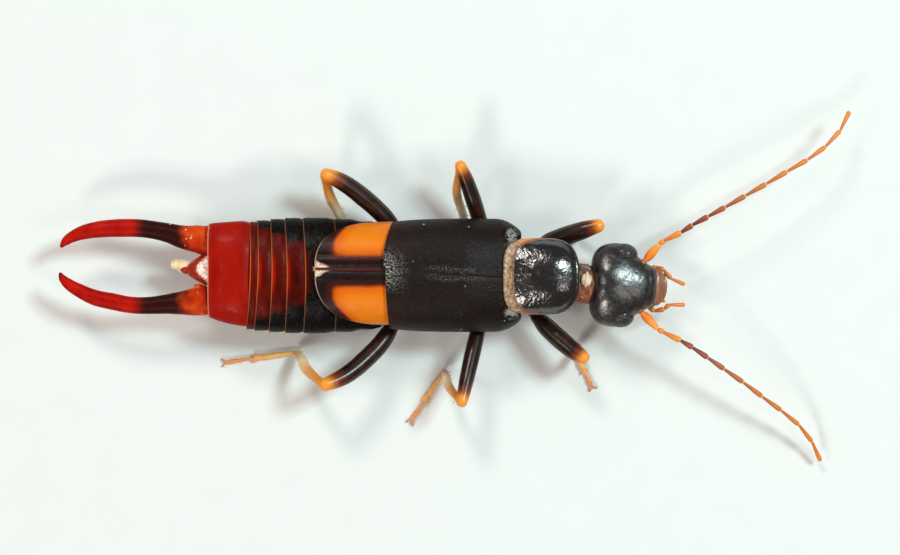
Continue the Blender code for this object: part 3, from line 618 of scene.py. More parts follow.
def ring_red():
    """Abdomen plate: glossy dark red, black at its sides and towards the wings, with a pale hem."""
    finish = Finish("abdomen_plates", ior=1.45, specular_ior_level=0.09)
    x, y, z = finish.axes()
    fine = finish.grain(10, 4, 0.7)
    broad = finish.grain(2.4, 4)
    rows = finish.grain(15, 2, stretch=(2.2, 0.5, 1))
    behind = finish.note("behind")
    away = abs(y - 0.12) + (fine - 0.5) * 0.16 + (broad - 0.5) * 0.30
    side = (away - finish.note("red_to")).rise(-0.14, 0.08)
    front = (x + (broad - 0.5) * 0.3).rise(-6.26, -5.80)
    dark = side.most(front)
    # Painted glow: bright red near the hind edges of the hind rings, about the midline, standing in for
    # light through them and their highlights.
    painted_glow = behind.rise(0.17, 0.03) * away.rise(0.8, 0.10) * x.rise(-6.0, -6.9) * x.rise(-7.80, -7.40)
    red = finish.mix(broad.rise(0.3, 0.7), rgb(40, 4, 1), rgb(86, 9, 2))
    red = finish.mix(x.rise(-6.2, -7.4) * 0.6, red, rgb(98, 10, 1))
    red = finish.mix(painted_glow * 0.62, red, rgb(200, 36, 3))
    under = z.rise(1.5, 1.2)
    red = finish.mix(under * 0.6, red, rgb(60, 16, 9))
    black = finish.mix(rows.rise(0.50, 0.75) * 0.5, rgb(9, 7, 7), rgb(60, 54, 50))
    colour = finish.mix(dark, red, black)
    hem = behind.rise(0.046, 0.022)
    edge = finish.mix(away.rise(1.3, 0.3), rgb(112, 72, 46), rgb(196, 96, 46))
    colour = finish.mix(hem, colour, edge)
    return finish.done(colour, 0.24 + fine * 0.22, finish.grain(6, 1.5) + rows * 0.2, 0.014)


def plate_red():
    finish = Finish(
        "last_plate_red", ior=1.45, specular_ior_level=0.09, coat_weight=0.02, coat_roughness=0.03
    )
    x, _, z = finish.axes()
    fine = finish.grain(15, 4, 0.6)
    broad = finish.grain(1.6, 4)
    red = finish.mix(broad.rise(0.2, 0.8), rgb(146, 10, 0), rgb(166, 20, 0))
    red = finish.mix(x.rise(-8.2, -7.95) * 0.35, red, rgb(118, 10, 1))
    low = z.rise(1.7, 1.2)
    red = finish.mix(low * 0.5, red, rgb(92, 14, 8))
    # Painted highlight: a pale line along the hind edge.
    painted_hind_edge_highlight = x.rise(-8.98, -9.03)
    red = finish.mix(painted_hind_edge_highlight * 0.9, red, rgb(236, 186, 160))
    scars = finish.cells(2.1).rise(0.085, 0.05)
    red = finish.mix(scars * 0.35, red, rgb(210, 150, 130))
    return finish.done(red, 0.36 + fine * 0.20, finish.grain(3, 1.5), 0.03)


def shield_red():
    finish = Finish("end_shield_red", ior=1.5, specular_ior_level=0.4, coat_weight=0.2, coat_roughness=0.06)
    x, y, _ = finish.axes()
    fine = finish.grain(20, 3)
    # Pale granular patch at the front of the shield, partly its own tone and partly a painted highlight.
    pale = ((9.52 + x) * 0.95 - abs(y - 0.24) + (fine - 0.5) * 0.16).rise(0.0, 0.10) * x.rise(-9.42, -9.32)
    red = finish.mix(fine, rgb(120, 16, 8), rgb(186, 50, 26))
    chalk_and_highlight = finish.mix(fine.rise(0.36, 0.52), rgb(220, 150, 124), rgb(255, 244, 234))
    return finish.done(finish.mix(pale * 0.95, red, chalk_and_highlight), 0.16 + fine * 0.2, fine, 0.006)


def forceps_red():
    """Bright red with a long black-brown band, and orange-red at the root."""
    finish = Finish("forceps_lacquer", ior=1.45, specular_ior_level=0.10)
    x, _, _ = finish.axes()
    fine = finish.grain(15, 4, 0.6, stretch=(0.5, 1, 1))
    broad = finish.grain(2.0, 4)
    turn = x + (broad - 0.5) * 0.5
    root = turn.rise(-9.98, -9.55)
    far = turn.rise(-10.86, -11.36)
    red = finish.mix(broad.rise(0.3, 0.7), rgb(154, 4, 0), rgb(188, 18, 0))
    dark = finish.mix(fine, rgb(24, 3, 2), rgb(60, 7, 4))
    orange = finish.mix(broad.rise(0.3, 0.7), rgb(166, 28, 0), rgb(208, 70, 6))
    colour = finish.mix(far, finish.mix(root, dark, orange), red)
    tip = finish.note("along").rise(0.965, 1.0)
    colour = finish.mix(tip * 0.7, colour, rgb(70, 10, 6))
    # Pale specks on the roots of the arms, partly dust and partly painted glints.
    dust_and_glint_specks = finish.cells(5.2).rise(0.17, 0.11) * finish.grain(1.7, 2).rise(0.50, 0.58)
    colour = finish.mix(dust_and_glint_specks * x.rise(-10.7, -10.2) * 0.8, colour, rgb(236, 196, 166))
    return finish.done(colour, 0.34 + fine * 0.20, finish.grain(4, 1.5), 0.022)


def thigh_black():
    """Glossy black-brown, clearing to orange at the knee."""
    finish = Finish("thigh_lacquer", ior=1.5, specular_ior_level=0.3, coat_weight=0.15, coat_roughness=0.08)
    fine = finish.grain(24, 3)
    broad = finish.grain(3.0, 3)
    along = finish.note("along") + (broad - 0.5) * 0.08
    dark = finish.mix(broad.rise(0.3, 0.7), rgb(16, 8, 5), rgb(50, 25, 13))
    brown = finish.mix(along.rise(0.74, 0.88), dark, rgb(120, 50, 12))
    colour = finish.mix(along.rise(0.83, 0.96), brown, rgb(242, 150, 48))
    return finish.done(colour, 0.24 + fine * 0.16, fine, 0.002)


def shin_pale():
    """Orange at the knee, smoky brown in the middle and cream at the ankle."""
    finish = Finish("shin_amber", ior=1.5, coat_weight=0.3, coat_roughness=0.15)
    fine = finish.grain(26, 3)
    along = finish.note("along") + (fine - 0.5) * 0.08
    colour = finish.node(
        "ShaderNodeValToRGB",
        {0: along},
        stops=[
            (0.0, rgb(242, 148, 42)),
            (0.16, rgb(226, 138, 50)),
            (0.38, rgb(230, 160, 88)),
            (0.70, rgb(255, 234, 190)),
            (1.0, rgb(234, 154, 72)),
        ],
    )
    return finish.done(colour, 0.32 + fine * 0.14, fine, 0.002)


def foot_orange():
    finish = Finish("foot_amber", ior=1.5, coat_weight=0.2, coat_roughness=0.2)
    fine = finish.grain(26, 3)
    along = finish.note("along")
    colour = finish.mix(along.rise(0.2, 0.9), rgb(244, 186, 106), rgb(234, 146, 70))
    colour = finish.mix(fine.rise(0.45, 0.75) * 0.3, colour, rgb(218, 124, 56))
    return finish.done(colour, 0.40 + fine * 0.15, fine, 0.002)


def claw_brown():
    finish = Finish("claw_horn", ior=1.55, coat_weight=0.4, coat_roughness=0.1)
    fine = finish.grain(20, 3)
    tip = finish.note("along").rise(0.35, 1.0)
    colour = finish.mix(tip, rgb(226, 146, 84), rgb(158, 84, 42))
    return finish.done(colour, 0.28 + fine * 0.12, fine, 0.002)


def feeler_amber():
    """Segments from orange to dark brown, each with a pale ring at its joint."""
    finish = Finish("feeler_amber", ior=1.5, coat_weight=0.15, coat_roughness=0.25)
    fine = finish.grain(30, 4)
    along = finish.note("along")
    tone = finish.note("tone")
    light = finish.mix(along.rise(0.1, 0.9), rgb(232, 116, 10), rgb(246, 150, 26))
    dark = finish.mix(along.rise(0.15, 0.75), rgb(96, 32, 12), rgb(146, 62, 24))
    colour = finish.mix(tone + (fine - 0.5) * 0.2, light, dark)
    ring = along.rise(0.93, 0.985).most(along.rise(0.07, 0.02) * 0.7)
    colour = finish.mix(ring, colour, rgb(246, 206, 150))
    return finish.done(colour, 0.42 + fine * 0.14, fine, 0.002)


def mouth_brown(name="mouth_horn", light=rgb(164, 112, 84), dark=rgb(98, 54, 38)):
    finish = Finish(name, ior=1.5, coat_weight=0.25, coat_roughness=0.15)
    fine = finish.grain(18, 4)
    broad = finish.grain(5, 3, stretch=(2.2, 1, 1))
    colour = finish.mix(broad, dark, light)
    return finish.done(colour, 0.30 + fine * 0.18, fine, 0.003)


def neck_skin(name, light, dark):
    """Soft folded skin."""
    finish = Finish(name, ior=1.42)
    fine = finish.grain(22, 4)
    folds = finish.grain(5, 3, stretch=(2.6, 0.6, 1))
    colour = finish.mix(folds.rise(0.35, 0.65), dark, light)
    return finish.done(finish.mix(fine * 0.25, colour, light), 0.46 + fine * 0.16, folds, 0.03)


def hair_gold():
    finish = Finish("hair_gold", ior=1.5)
    along = finish.note("along")
    finish.set(base_color=finish.mix(along, rgb(176, 112, 52), rgb(236, 196, 132)), roughness=0.45)
    return finish.material


# Head


def make_head(skin):
    """The head capsule, with swollen temples and a shallow notch behind."""
    sections = [
        (-0.04, 0.52, 0.20), (0.01, 0.82, 0.38), (0.10, 1.02, 0.49), (0.25, 1.155, 0.56),
        (0.45, 1.235, 0.585), (0.66, 1.265, 0.585), (0.86, 1.255, 0.575), (1.04, 1.15, 0.565),
        (1.24, 0.97, 0.535), (1.44, 0.82, 0.485), (1.62, 0.70, 0.42), (1.77, 0.62, 0.34),
        (1.88, 0.56, 0.26), (1.95, 0.44, 0.16),
    ]
    head = swelled("head_capsule", sections, 20, z=lambda x: -0.01)

    def carve(co):
        back = max(0.0, 1 - co.x / 0.62)
        co.x += 0.085 * back * hump(co.y, 0.36)
        if co.z > 0:
            co.z -= 0.025 * hump(co.y, 0.06) * blend(1.0, 0.5, co.x)
            co.z += 0.025 * hump(abs(co.y) - 0.42, 0.28) * hump(co.x - 0.42, 0.36)
            co.z += 0.085 * hump(co.x - 0.60, 0.46) * hump(co.y, 0.72)
            groove = hump(abs(co.y) - 0.9 * (co.x - 0.80), 0.05)
            co.z -= 0.018 * groove * blend(0.78, 0.95, co.x) * blend(1.5, 1.3, co.x)
            co.z -= 0.012 * hump(co.x - 1.70, 0.05) * blend(0.75, 0.5, abs(co.y))
        return co

    reshape(head, carve)
    reshape(head, lambda co: HEAD @ co)
    return settled(head, skin, "cuticle_black", "head")


def make_eye(side, facets):
    bpy.ops.mesh.primitive_uv_sphere_add(
        segments=40, ring_count=24, radius=1.0, rotation=(math.radians(90), 0, 0)
    )
    eye = named(f"eye_globe_{side}")
    place = Matrix.Translation((EYE_PLACE.x, EYE_PLACE.y * SIDES[side], EYE_PLACE.z))
    bulge = place @ Matrix.Diagonal((*EYE_RADII, 1.0))
    reshape(eye, lambda co: HEAD @ (bulge @ co))
    take(eye)
    bpy.ops.object.shade_smooth()
    return settled(eye, facets, "eye_black", f"eye_{side}")


def make_lip(brown):
    """The upper lip, a rounded flap with a groove along its front."""
    sections = [
        (1.82, 0.46, 0.16), (1.93, 0.57, 0.17), (2.02, 0.54, 0.15), (2.10, 0.47, 0.12), (2.18, 0.36, 0.09),
        (2.235, 0.25, 0.06), (2.265, 0.12, 0.03),
    ]
    lip = swelled("upper_lip_flap", sections, 16, z=lambda x: 0.02 - 0.06 * (x - 1.7))

    def carve(co):
        bow = co.x + 0.30 * co.y * co.y
        if co.z > -0.02:
            co.z -= 0.035 * hump(bow - 2.09, 0.03) + 0.02 * hump(bow - 2.19, 0.025)
        return HEAD @ co

    reshape(lip, carve)
    return settled(lip, brown, "mouth_brown", "labrum")


def to_side(side, rows):
    """Rows as given for the left side, mirrored if they are for the right side."""
    return [(x, y * SIDES[side], *rest) for x, y, *rest in rows]


def make_jaw(side, brown):
    rows = [
        (1.45, 0.40, -0.28, 0.17), (1.78, 0.46, -0.30, 0.16), (2.02, 0.36, -0.32, 0.12),
        (2.17, 0.13, -0.33, 0.05),
    ]
    tooth_rows = [(1.98, 0.30, -0.31, 0.07), (2.08, 0.10, -0.33, 0.03)]
    jaw = limb(f"jaw_blade_{side}", to_side(side, rows))
    tooth = limb(f"jaw_tooth_{side}", to_side(side, tooth_rows), steps=2)
    jaw = joined(f"jaw_blade_{side}", [jaw, tooth])
    reshape(jaw, lambda co: HEAD @ Vector((co.x, co.y, -0.31 + (co.z + 0.31) * 0.8)))
    return settled(jaw, brown, "mouth_brown", f"jaw_{side}")


# Radius along a segment of a palp or a feeler, and along the first one of a feeler.
SEGMENT = [
    (0.0, 0.34), (0.03, 0.52), (0.12, 0.56), (0.30, 0.66), (0.55, 0.85), (0.78, 1.0), (0.90, 0.97),
    (0.965, 0.80), (1.0, 0.48),
]
SCAPE = [
    (0.0, 0.42), (0.03, 0.60), (0.14, 0.80), (0.34, 1.0), (0.58, 0.93), (0.78, 0.70), (0.92, 0.62),
    (0.98, 0.52), (1.0, 0.34),
]


def spindle(profile):
    """A unit segment of a palp or a feeler, which the profile swells and pinches."""
    piece = smoothed(drawn_out("segment_model", [(x, 0, 0, r, r) for x, r in profile], 12), 1)
    mark_along(piece, UNIT)
    return piece


def make_palp(side, model, amber):
    joints = [Vector(point) for point in PALPS[side]]
    joints[0:1] = [joints[0], joints[0].lerp(joints[1], 0.35)]
    pieces = []
    for i, (start, end) in enumerate(pairwise(joints)):
        back = (end - start).normalized() * 0.03
        thick = (0.09, 0.085, 0.085, 0.08, 0.07)[i]
        piece = copied(model, f"palp_{side}_{i}", HEAD @ aimed(start - back, end, thick))
        pieces.append(note_value(piece, "tone", 0.28))
    return settled(joined(f"palp_segments_{side}", pieces), amber, "feeler_orange", f"palp_{side}")


def make_feeler(side, model, scape, amber, skin):
    """Thirteen or twelve segments, each rooted in the end of the one before."""
    sign = SIDES[side]
    place = Vector((FEELER_ROOT.x, FEELER_ROOT.y * sign, FEELER_ROOT.z))
    headings = FEELER_HEADINGS[side]
    last = len(headings) - 1
    low, high = FEELER_PITCH[side]
    pieces = []
    for i, (length, heading) in enumerate(zip(FEELER_LENGTHS, headings, strict=False)):
        turn, pitch = math.radians(heading), math.radians(low + (high - low) * i / last)
        flat = math.cos(pitch)
        forward = Vector((math.cos(turn) * flat, math.sin(turn) * flat * sign, math.sin(pitch)))
        end = place + forward * length * FEELER_STRETCH[side]
        thick = (0.145, 0.092)[i] if i < 2 else 0.100 - 0.026 * i / last
        back = forward * (0.035 if i else 0.02)
        shape = model if i else scape
        piece = copied(shape, f"feeler_{side}_{i}", HEAD @ aimed(place - back, end, thick))
        pieces.append(note_value(piece, "tone", FEELER_TONE[i]))
        place = end
    root = limb(f"feeler_socket_{side}", to_side(side, FEELER_SOCKET), steps=2)
    reshape(root, lambda co: HEAD @ co)
    settled(root, skin, "cuticle_black")
    return settled(joined(f"feeler_segments_{side}", pieces), amber, "feeler_orange", f"feeler_{side}")


def make_lower_lip(model, brown, amber):
    sections = [
        (0.92, 0.30, 0.10), (1.10, 0.38, 0.13), (1.45, 0.40, 0.15), (1.75, 0.34, 0.13), (1.92, 0.24, 0.10),
        (2.00, 0.12, 0.05),
    ]
    lip = swelled("lower_lip_plate", sections, 14, z=lambda x: -0.66)

    def carve(co):
        co.z += 0.04 * hump(co.y, 0.03) * blend(1.4, 1.6, co.x)
        co.z += 0.03 * hump(co.x - 1.36, 0.03)
        return HEAD @ co

    reshape(lip, carve)
    settled(lip, brown, "mouth_brown", "lower_lip")
    palp = [(1.80, 0.22, -0.62), (1.98, 0.34, -0.58), (2.12, 0.40, -0.54), (2.28, 0.38, -0.50)]
    for side in SIDES:
        joints = [Vector(point) for point in to_side(side, palp)]
        pieces = []
        for i, (start, end) in enumerate(pairwise(joints)):
            piece = copied(model, f"lip_palp_{side}_{i}", HEAD @ aimed(start, end, 0.055))
            pieces.append(note_value(piece, "tone", 0.1))
        settled(joined(f"lip_palp_{side}", pieces), amber, "feeler_orange")


# Body


def make_neck(skin, plates, cream):
    sections = [
        (1.66, 0.50, 0.34), (1.84, 0.57, 0.39), (1.98, 0.55, 0.38), (2.10, 0.58, 0.40), (2.26, 0.52, 0.36),
        (2.50, 0.44, 0.30),
    ]
    sections = [(x, w * 1.06, h) for x, w, h in sections]
    neck = swelled("neck_folds", sections, 18, lambda x: -0.13 - 0.14 * (x - 1.6), lambda x: 1.64)
    settled(neck, skin, "neck_skin", "neck")
    for side, sign in SIDES.items():
        rows = [
            (1.84, -0.12 + 0.32 * sign, 1.90, 0.11), (2.03, -0.14 + 0.42 * sign, 1.87, 0.13),
            (2.22, -0.16 + 0.34 * sign, 1.90, 0.09),
        ]
        piece = limb(f"neck_plate_{side}", rows, steps=3)
        reshape(piece, lambda co: Vector((co.x, co.y, 1.90 + (co.z - 1.90) * 0.6)))
        settled(piece, plates[side], "neck_skin")
    rows = [(1.93, -0.06, 1.99, 0.21), (2.08, -0.08, 2.01, 0.27), (2.23, -0.10, 1.98, 0.21)]
    boss = limb("neck_boss", rows, steps=3)
    reshape(boss, lambda co: Vector((co.x, co.y, 2.01 + (co.z - 1.96) * 0.5)))
    settled(boss, cream, "neck_skin")


def make_pronotum(finish):
    """The neck shield: a rounded square plate, humped in front, with a thin turned-up margin."""
    bpy.ops.mesh.primitive_uv_sphere_add(segments=96, ring_count=36, radius=1.0)
    plate = named("neck_shield_plate")

    def carve(co):
        flat = math.hypot(co.x, co.y)
        top = co.z > 0
        cx, cy = (co.x / flat, co.y / flat) if flat > 1e-6 else (0.0, 0.0)
        power = 3.4 - 0.5 * cx
        square = (abs(cx) ** power + abs(cy) ** power) ** (-1 / power) if flat > 1e-6 else 0.0
        cx, cy = flat * cx * square, flat * cy * square
        droop = 1.2 * (1 - 0.6 * max(0.0, -cx) ** 1.5)
        bend = 0.30 * (1 - droop * cy * cy - (0.25 if cx > 0 else 0.10) * cx * cx)
        depth = 0.17 * abs(co.z) ** 0.6 * (1 if top else -1)
        z = bend + depth
        if top:
            inner = blend(0.97, 0.80, flat)
            z += 0.085 * inner * max(0.0, 1 - ((cx - 0.18) / 0.84) ** 2)
            z += 0.03 * inner * hump(cx - 0.40, 0.30) * hump(abs(cy) - 0.42, 0.26)
            z += 0.04 * inner * hump(cx + 0.24, 0.13) * hump(cy - 0.06, 0.20)
            z -= 0.004 * inner * hump(cy, 0.05) * blend(0.80, 0.4, abs(cx - 0.3))
            z -= 0.008 * inner * hump(cx + 0.30, 0.12) * blend(0.8, 0.3, abs(cy))
            z -= 0.05 * hump(math.hypot(cx + 0.16, cy * 0.55) - 0.72, 0.07) * blend(0.1, -0.3, cx)
            z += 0.02 * hump(flat - 0.97, 0.03)
        return Vector((SHIELD_X + cx * 1.118, SHIELD_Y + cy * 1.122, 2.155 + z))

    reshape(plate, carve)
    take(plate)
    bpy.ops.object.shade_smooth()
    return settled(plate, finish, "cuticle_black", "pronotum")


def make_chest(skin, brown):
    """The box under the neck shield and the thorax under the wings, with the plates of the underside."""
    front = [
        (-0.12, 0.88, 0.55), (0.10, 0.95, 0.64), (0.50, 0.94, 0.66), (0.95, 0.90, 0.64), (1.45, 0.76, 0.55),
        (1.68, 0.62, 0.44),
    ]
    box = swelled("front_chest", front, 20, z=lambda x: 1.58)
    settled(box, skin, "cuticle_black", "prothorax")
    rear = [
        (-0.26, 1.00, 0.60), (-0.60, 1.32, 0.74), (-1.20, 1.40, 0.80), (-1.85, 1.38, 0.80),
        (-2.60, 1.40, 0.79), (-3.20, 1.36, 0.76), (-3.44, 1.28, 0.66),
    ]
    hull = swelled("rear_chest", rear, 24, z=lambda x: 1.56)
    settled(hull, skin, "cuticle_black", "thorax")
    # Middle, half length, half width and level of each plate.
    plates = {
        "front": (0.45, 0.42, 0.34, 0.93),
        "middle": (-0.72, 0.62, 0.48, 0.80),
        "hind": (-2.35, 0.78, 0.56, 0.785),
    }
    for name, (x, long, wide, level) in plates.items():
        shares = (-1, 0.5, 0.03), (-0.8, 0.9, 0.06), (0, 1, 0.07), (0.75, 0.75, 0.06), (1, 0.3, 0.03)
        rows = [(x + long * run, wide * share, high) for run, share, high in shares]
        piece = swelled(f"breast_plate_{name}", rows, 14, z=lambda x: level)
        settled(piece, brown, "cuticle_black")


def wing_level(y, half_width, top):
    share = min(1.0, abs(y - WING_MIDDLE) / half_width)
    return top - WING_DEPTH * (1 - (1 - share**2.8) ** 0.5)


def suture(x):
    return SUTURE[0] + (SUTURE[1] - SUTURE[0]) * min(1.0, max(0.0, x / COVER_REAR["left"][0]))


def cover_rear(side, v):
    """Where the wing cover is cut off behind, from the seam (v = 0) to its outer edge (v = 1)."""
    inner, outer, late = COVER_REAR[side]
    return inner + (outer - inner) * max(0.0, math.sin(v * math.pi / 2)) ** late


def under_shield(x, y):
    """How much of the way down the wing covers dip there, to pass under the neck shield."""
    away = ((abs(x - SHIELD_X) / 1.125) ** 3.6 + (abs(y - SHIELD_Y) / 1.13) ** 3.6) ** (1 / 3.6)
    return 1 - blend(0.90, 1.02, away)


def make_wing_cover(side, leather):
    """The leathery fore wing, cut off behind, with a turned-down outer edge and a faintly raised suture."""
    sign = SIDES[side]

    def place(u, v):
        shoulder = max(0.0, 1 - u / 0.13)
        half_width = WING_HALF_WIDTH * (1 - 0.16 * shoulder**1.9 - 0.06 * u**5)
        rise = min(1.0, v / 0.66)
        fall = max(0.0, (v - 0.66) / 0.34)
        front = -0.36 + 0.56 * (rise * rise * (3 - 2 * rise) - 0.62 * fall**2)
        rear = cover_rear(side, v) + 0.09 * (1 - v) ** 10
        x = front + (rear - front) * u
        inner = suture(x) + (-0.02 if sign > 0 else 0.03)
        outer = WING_MIDDLE + half_width * sign
        y = inner + (outer - inner) * math.sin(min(v, 0.997) * math.pi / 2)
        z = wing_level(y, half_width * 1.003, WING_TOP) - 0.28 * blend(-1.6, -0.2, x)
        z -= 0.16 * under_shield(x, y)
        z -= 0.014 * (hump(v, 0.03) if sign < 0 else 0.0)
        z -= 0.03 * blend(0.985, 1.0, u)
        z += 0.015 * blend(0.955, 0.985, v) * blend(0.1, 0.3, u)
        return Vector((x, y, z))

    cover = sheet(f"wing_cover_shell_{side}", 72, 46, place, 0.10)
    return settled(cover, leather, "wing_cover_black", f"wing_cover_{side}")


def make_wing_tip(side, membrane):
    """The tip of the folded hind wing, with folds beside the seam and a note of how far in the hem is."""
    sign = SIDES[side]
    half_width = TIP_HALF_WIDTH[side]

    def place(u, v):
        front = cover_rear(side, v) + 0.25
        reach = 0.998 * max(0.0, (u - 0.10) / 0.90)
        reach = 1 - (1 - reach) ** 1.6
        far = half_width * (1 - reach**TIP_POWER) ** (1 / TIP_POWER)
        away = 0.006 + max(0.0, far - 0.006) * math.sin(v * math.pi / 2)
        y = SUTURE[1] + sign * away
        x = front + (TIP_REAR - front) * (0.10 + 0.90 * reach if u > 0.10 else u)
        level = wing_level(y, WING_HALF_WIDTH * (0.935 + 0.05 * u), WING_TOP - 0.155) - 0.10 * u * u
        level -= 0.05 * hump(away - 0.05, 0.04) - 0.022 * hump(away - 0.26, 0.05)
        level -= 0.015 * hump(away - 0.42, 0.03)
        return Vector((x, y, level))

    tip = sheet(f"wing_tip_shell_{side}", 64, 40, place, 0.07)
    start = -3.9
    length = start - TIP_REAR

    def from_hem(co):
        reach = max(0.0, (start - co.x) / length)
        wide = abs(co.y - SUTURE[1]) / half_width
        steep = (reach ** (TIP_POWER - 1) / length, wide ** (TIP_POWER - 1) / half_width)
        return (1 - reach**TIP_POWER - wide**TIP_POWER) / max(0.1, TIP_POWER * math.hypot(*steep))

    noted(tip, "hem", from_hem)
    return settled(tip, membrane, "wing_tip_orange", f"wing_tip_{side}")


def ring_plate(name, ring, span, grow):
    """One back or belly plate of the abdomen, bent round it over a span of angles."""
    front, rear, wide, red_to = ring
    before = front + 0.16
    tilt = 0.06 * blend(-6.6, -7.8, rear) - 0.01

    def place(u, v):
        angle = math.radians(span[0] + (span[1] - span[0]) * v)
        swell = wide + grow - 0.07 * (1 - blend(0.0, 0.45, u)) - 0.012 * blend(0.94, 1.0, u)
        y = math.cos(angle) * swell
        z = math.sin(angle) * swell * ABDOMEN_FLATNESS
        bow = RING_BOW * math.sin(angle) ** 2 + tilt * math.cos(angle)
        x = before + (rear + bow - before) * u
        return Vector((x, y + ABDOMEN_MIDDLE, ABDOMEN_LEVEL + z))

    plate = sheet(name, 16, 48, place, PLATE_THICKNESS)

    def before_edge(co):
        side = (co.y - ABDOMEN_MIDDLE) / (wide + grow)
        return co.x - rear - RING_BOW * max(0.0, 1 - side * side) - tilt * side

    return note_value(noted(plate, "behind", before_edge), "red_to", red_to)


def make_abdomen(finish):
    """Eight telescoping rings, each of a back plate that laps over the next and a belly plate inside it."""
    pieces = []
    for i, ring in enumerate(RINGS):
        pieces.append(ring_plate(f"back_plate_{i}", ring, (-14, 194), 0.0))
        pieces.append(ring_plate(f"belly_plate_{i}", ring, (340, 200), -PLATE_THICKNESS))
    core_rows = [(f, w - 0.14) for f, _, w, _ in RINGS] + [(RINGS[-1][1] + 0.05, RINGS[-1][2] - 0.12)]
    core_rows = [(x, ABDOMEN_MIDDLE, ABDOMEN_LEVEL, w, w * ABDOMEN_FLATNESS) for x, w in core_rows]
    core = smoothed(drawn_out("abdomen_core", core_rows, 32), 1)
    pieces.append(note_value(note_value(core, "behind", 1.0), "red_to", 1.0))
    return settled(joined("abdomen_rings", pieces), finish, "abdomen_red", "abdomen")


def make_last_plate(finish):
    """The big tenth plate: broad, glossy, pressed in along its hind middle, with a bead along its edge."""
    rows = [
        (-7.70, 0.07, 1.44, 0.64), (-7.82, 0.08, 1.50, 0.69), (-7.92, 0.09, 1.525, 0.72),
        (-8.05, 0.10, 1.53, 0.74), (-8.40, 0.12, 1.49, 0.735), (-8.70, 0.15, 1.45, 0.68),
        (-8.90, 0.18, 1.41, 0.60), (-9.00, 0.19, 1.39, 0.555), (-9.03, 0.19, 1.375, 0.54),
        (-9.035, 0.19, 1.32, 0.49), (-8.97, 0.19, 1.26, 0.43),
    ]
    level = LAST_PLATE_LEVEL
    plate = drawn_out("last_back_plate", [(x, y, level, w, h) for x, y, w, h in rows], 28)

    def square(co):
        middle = 0.08 + 0.11 * blend(-8.0, -9.0, co.x)
        side, up = (co.y - middle) / 1.5, (co.z - level) / 0.72
        pull = min(1 + 0.24 * (side * up) ** 2 * 4, 1.10)
        return Vector((co.x, middle + (co.y - middle) * pull, level + (co.z - level) * pull))

    reshape(plate, square)
    smoothed(plate, 3)

    def carve(co):
        side = co.y - 0.12
        if co.z > level:
            co.z -= 0.06 * hump(side, 0.55) * blend(-8.55, -9.0, co.x)
            co.z -= 0.015 * hump(side, 0.04) * blend(-8.2, -8.5, co.x)
            co.z += 0.035 * hump(abs(side) - 0.92, 0.30) * blend(-8.5, -8.9, co.x)
            co.z += 0.02 * hump(co.x + 8.97, 0.03)
        return co

    reshape(plate, carve)
    return settled(plate, finish, "plate_red", "last_plate")


def make_end_shield(finish, cream):
    """The small shield between the roots of the forceps and the pale lobes behind it."""
    rows = [
        (-8.80, 0.50, 0.32), (-8.98, 0.53, 0.38), (-9.16, 0.49, 0.38), (-9.36, 0.38, 0.32),
        (-9.54, 0.26, 0.23), (-9.65, 0.17, 0.15), (-9.69, 0.09, 0.08),
    ]
    shield = swelled("end_shield", rows, 18, lambda x: 0.25 - 0.05 * (-8.9 - x), lambda x: FORCEPS_LEVEL)

    def carve(co):
        side = co.y - 0.22
        if co.z > FORCEPS_LEVEL:
            co.z += 0.04 * hump(abs(side) - 0.26, 0.07) * hump(co.x + 9.40, 0.10)
            co.z -= 0.03 * hump(side, 0.10) * blend(-9.3, -9.5, co.x)
        return co

    reshape(shield, carve)
    settled(shield, finish, "plate_red", "pygidium")
    lobes = [
        [
            (-9.52, 0.30, 1.36, 0.13), (-9.82, 0.345, 1.34, 0.165), (-10.05, 0.36, 1.33, 0.17),
            (-10.19, 0.36, 1.32, 0.15),
        ],
        [(-9.52, 0.18, 1.35, 0.10), (-9.78, 0.20, 1.31, 0.11), (-9.96, 0.20, 1.29, 0.08)],
        [(-9.60, 0.24, 1.27, 0.10), (-9.90, 0.29, 1.22, 0.09), (-10.10, 0.30, 1.20, 0.06)],
    ]
    lobes = [limb(f"end_lobe_{i}", rows) for i, rows in enumerate(lobes)]
    settled(joined("end_lobes", lobes), cream, "neck_skin", "pygidium_tip")
    rows = [(-9.60, 0.16, 1.44, 0.10), (-9.76, 0.20, 1.45, 0.115), (-9.88, 0.22, 1.42, 0.08)]
    settled(limb("end_knob", rows, steps=3), finish, "plate_red")


def make_forceps(side, lacquer):
    """One arm, keeled along its inner face, with a row of blunt teeth near its root."""
    rows = FORCEPS[side]
    arm = limb(f"forceps_arm_{side}", rows, sides=6, steps=5)
    sign = SIDES[side]

    def carve(co):
        co.z = FORCEPS_LEVEL + (co.z - FORCEPS_LEVEL) * 0.84
        root = blend(-9.95, -9.1, co.x)
        middle = rows[0][1] + (rows[4][1] - rows[0][1]) * (co.x - rows[0][0]) / (rows[4][0] - rows[0][0])
        co.y += -sign * 0.05 * root * hump((co.y - middle) * sign + 0.3, 0.2)
        return co

    reshape(arm, carve)
    teeth = []
    for i in range(6):
        share = i / 5
        x = -9.25 - 0.85 * share
        middle = rows[1][1] + (rows[4][1] - rows[1][1]) * share
        radius = 0.40 - 0.10 * share
        y = middle - sign * (radius - 0.015)
        size = 0.055 - 0.02 * share
        ends = [(x, y + sign * 0.06, 1.49, size), (x - 0.01, y - sign * 0.03, 1.49, size * 0.5)]
        teeth.append(limb(f"tooth_{side}_{i}", ends, sides=2, steps=2))
    if side == "right":
        ends = [(-9.20, -0.36, 1.56, 0.12), (-9.36, -0.28, 1.57, 0.08), (-9.47, -0.22, 1.57, 0.03)]
        teeth.append(limb("root_tooth", ends, steps=3))
    for tooth in teeth:
        note_value(tooth, "along", 0.1)
    return settled(joined(f"forceps_arm_{side}", [arm, *teeth]), lacquer, "forceps_red", f"forceps_{side}")


# Legs


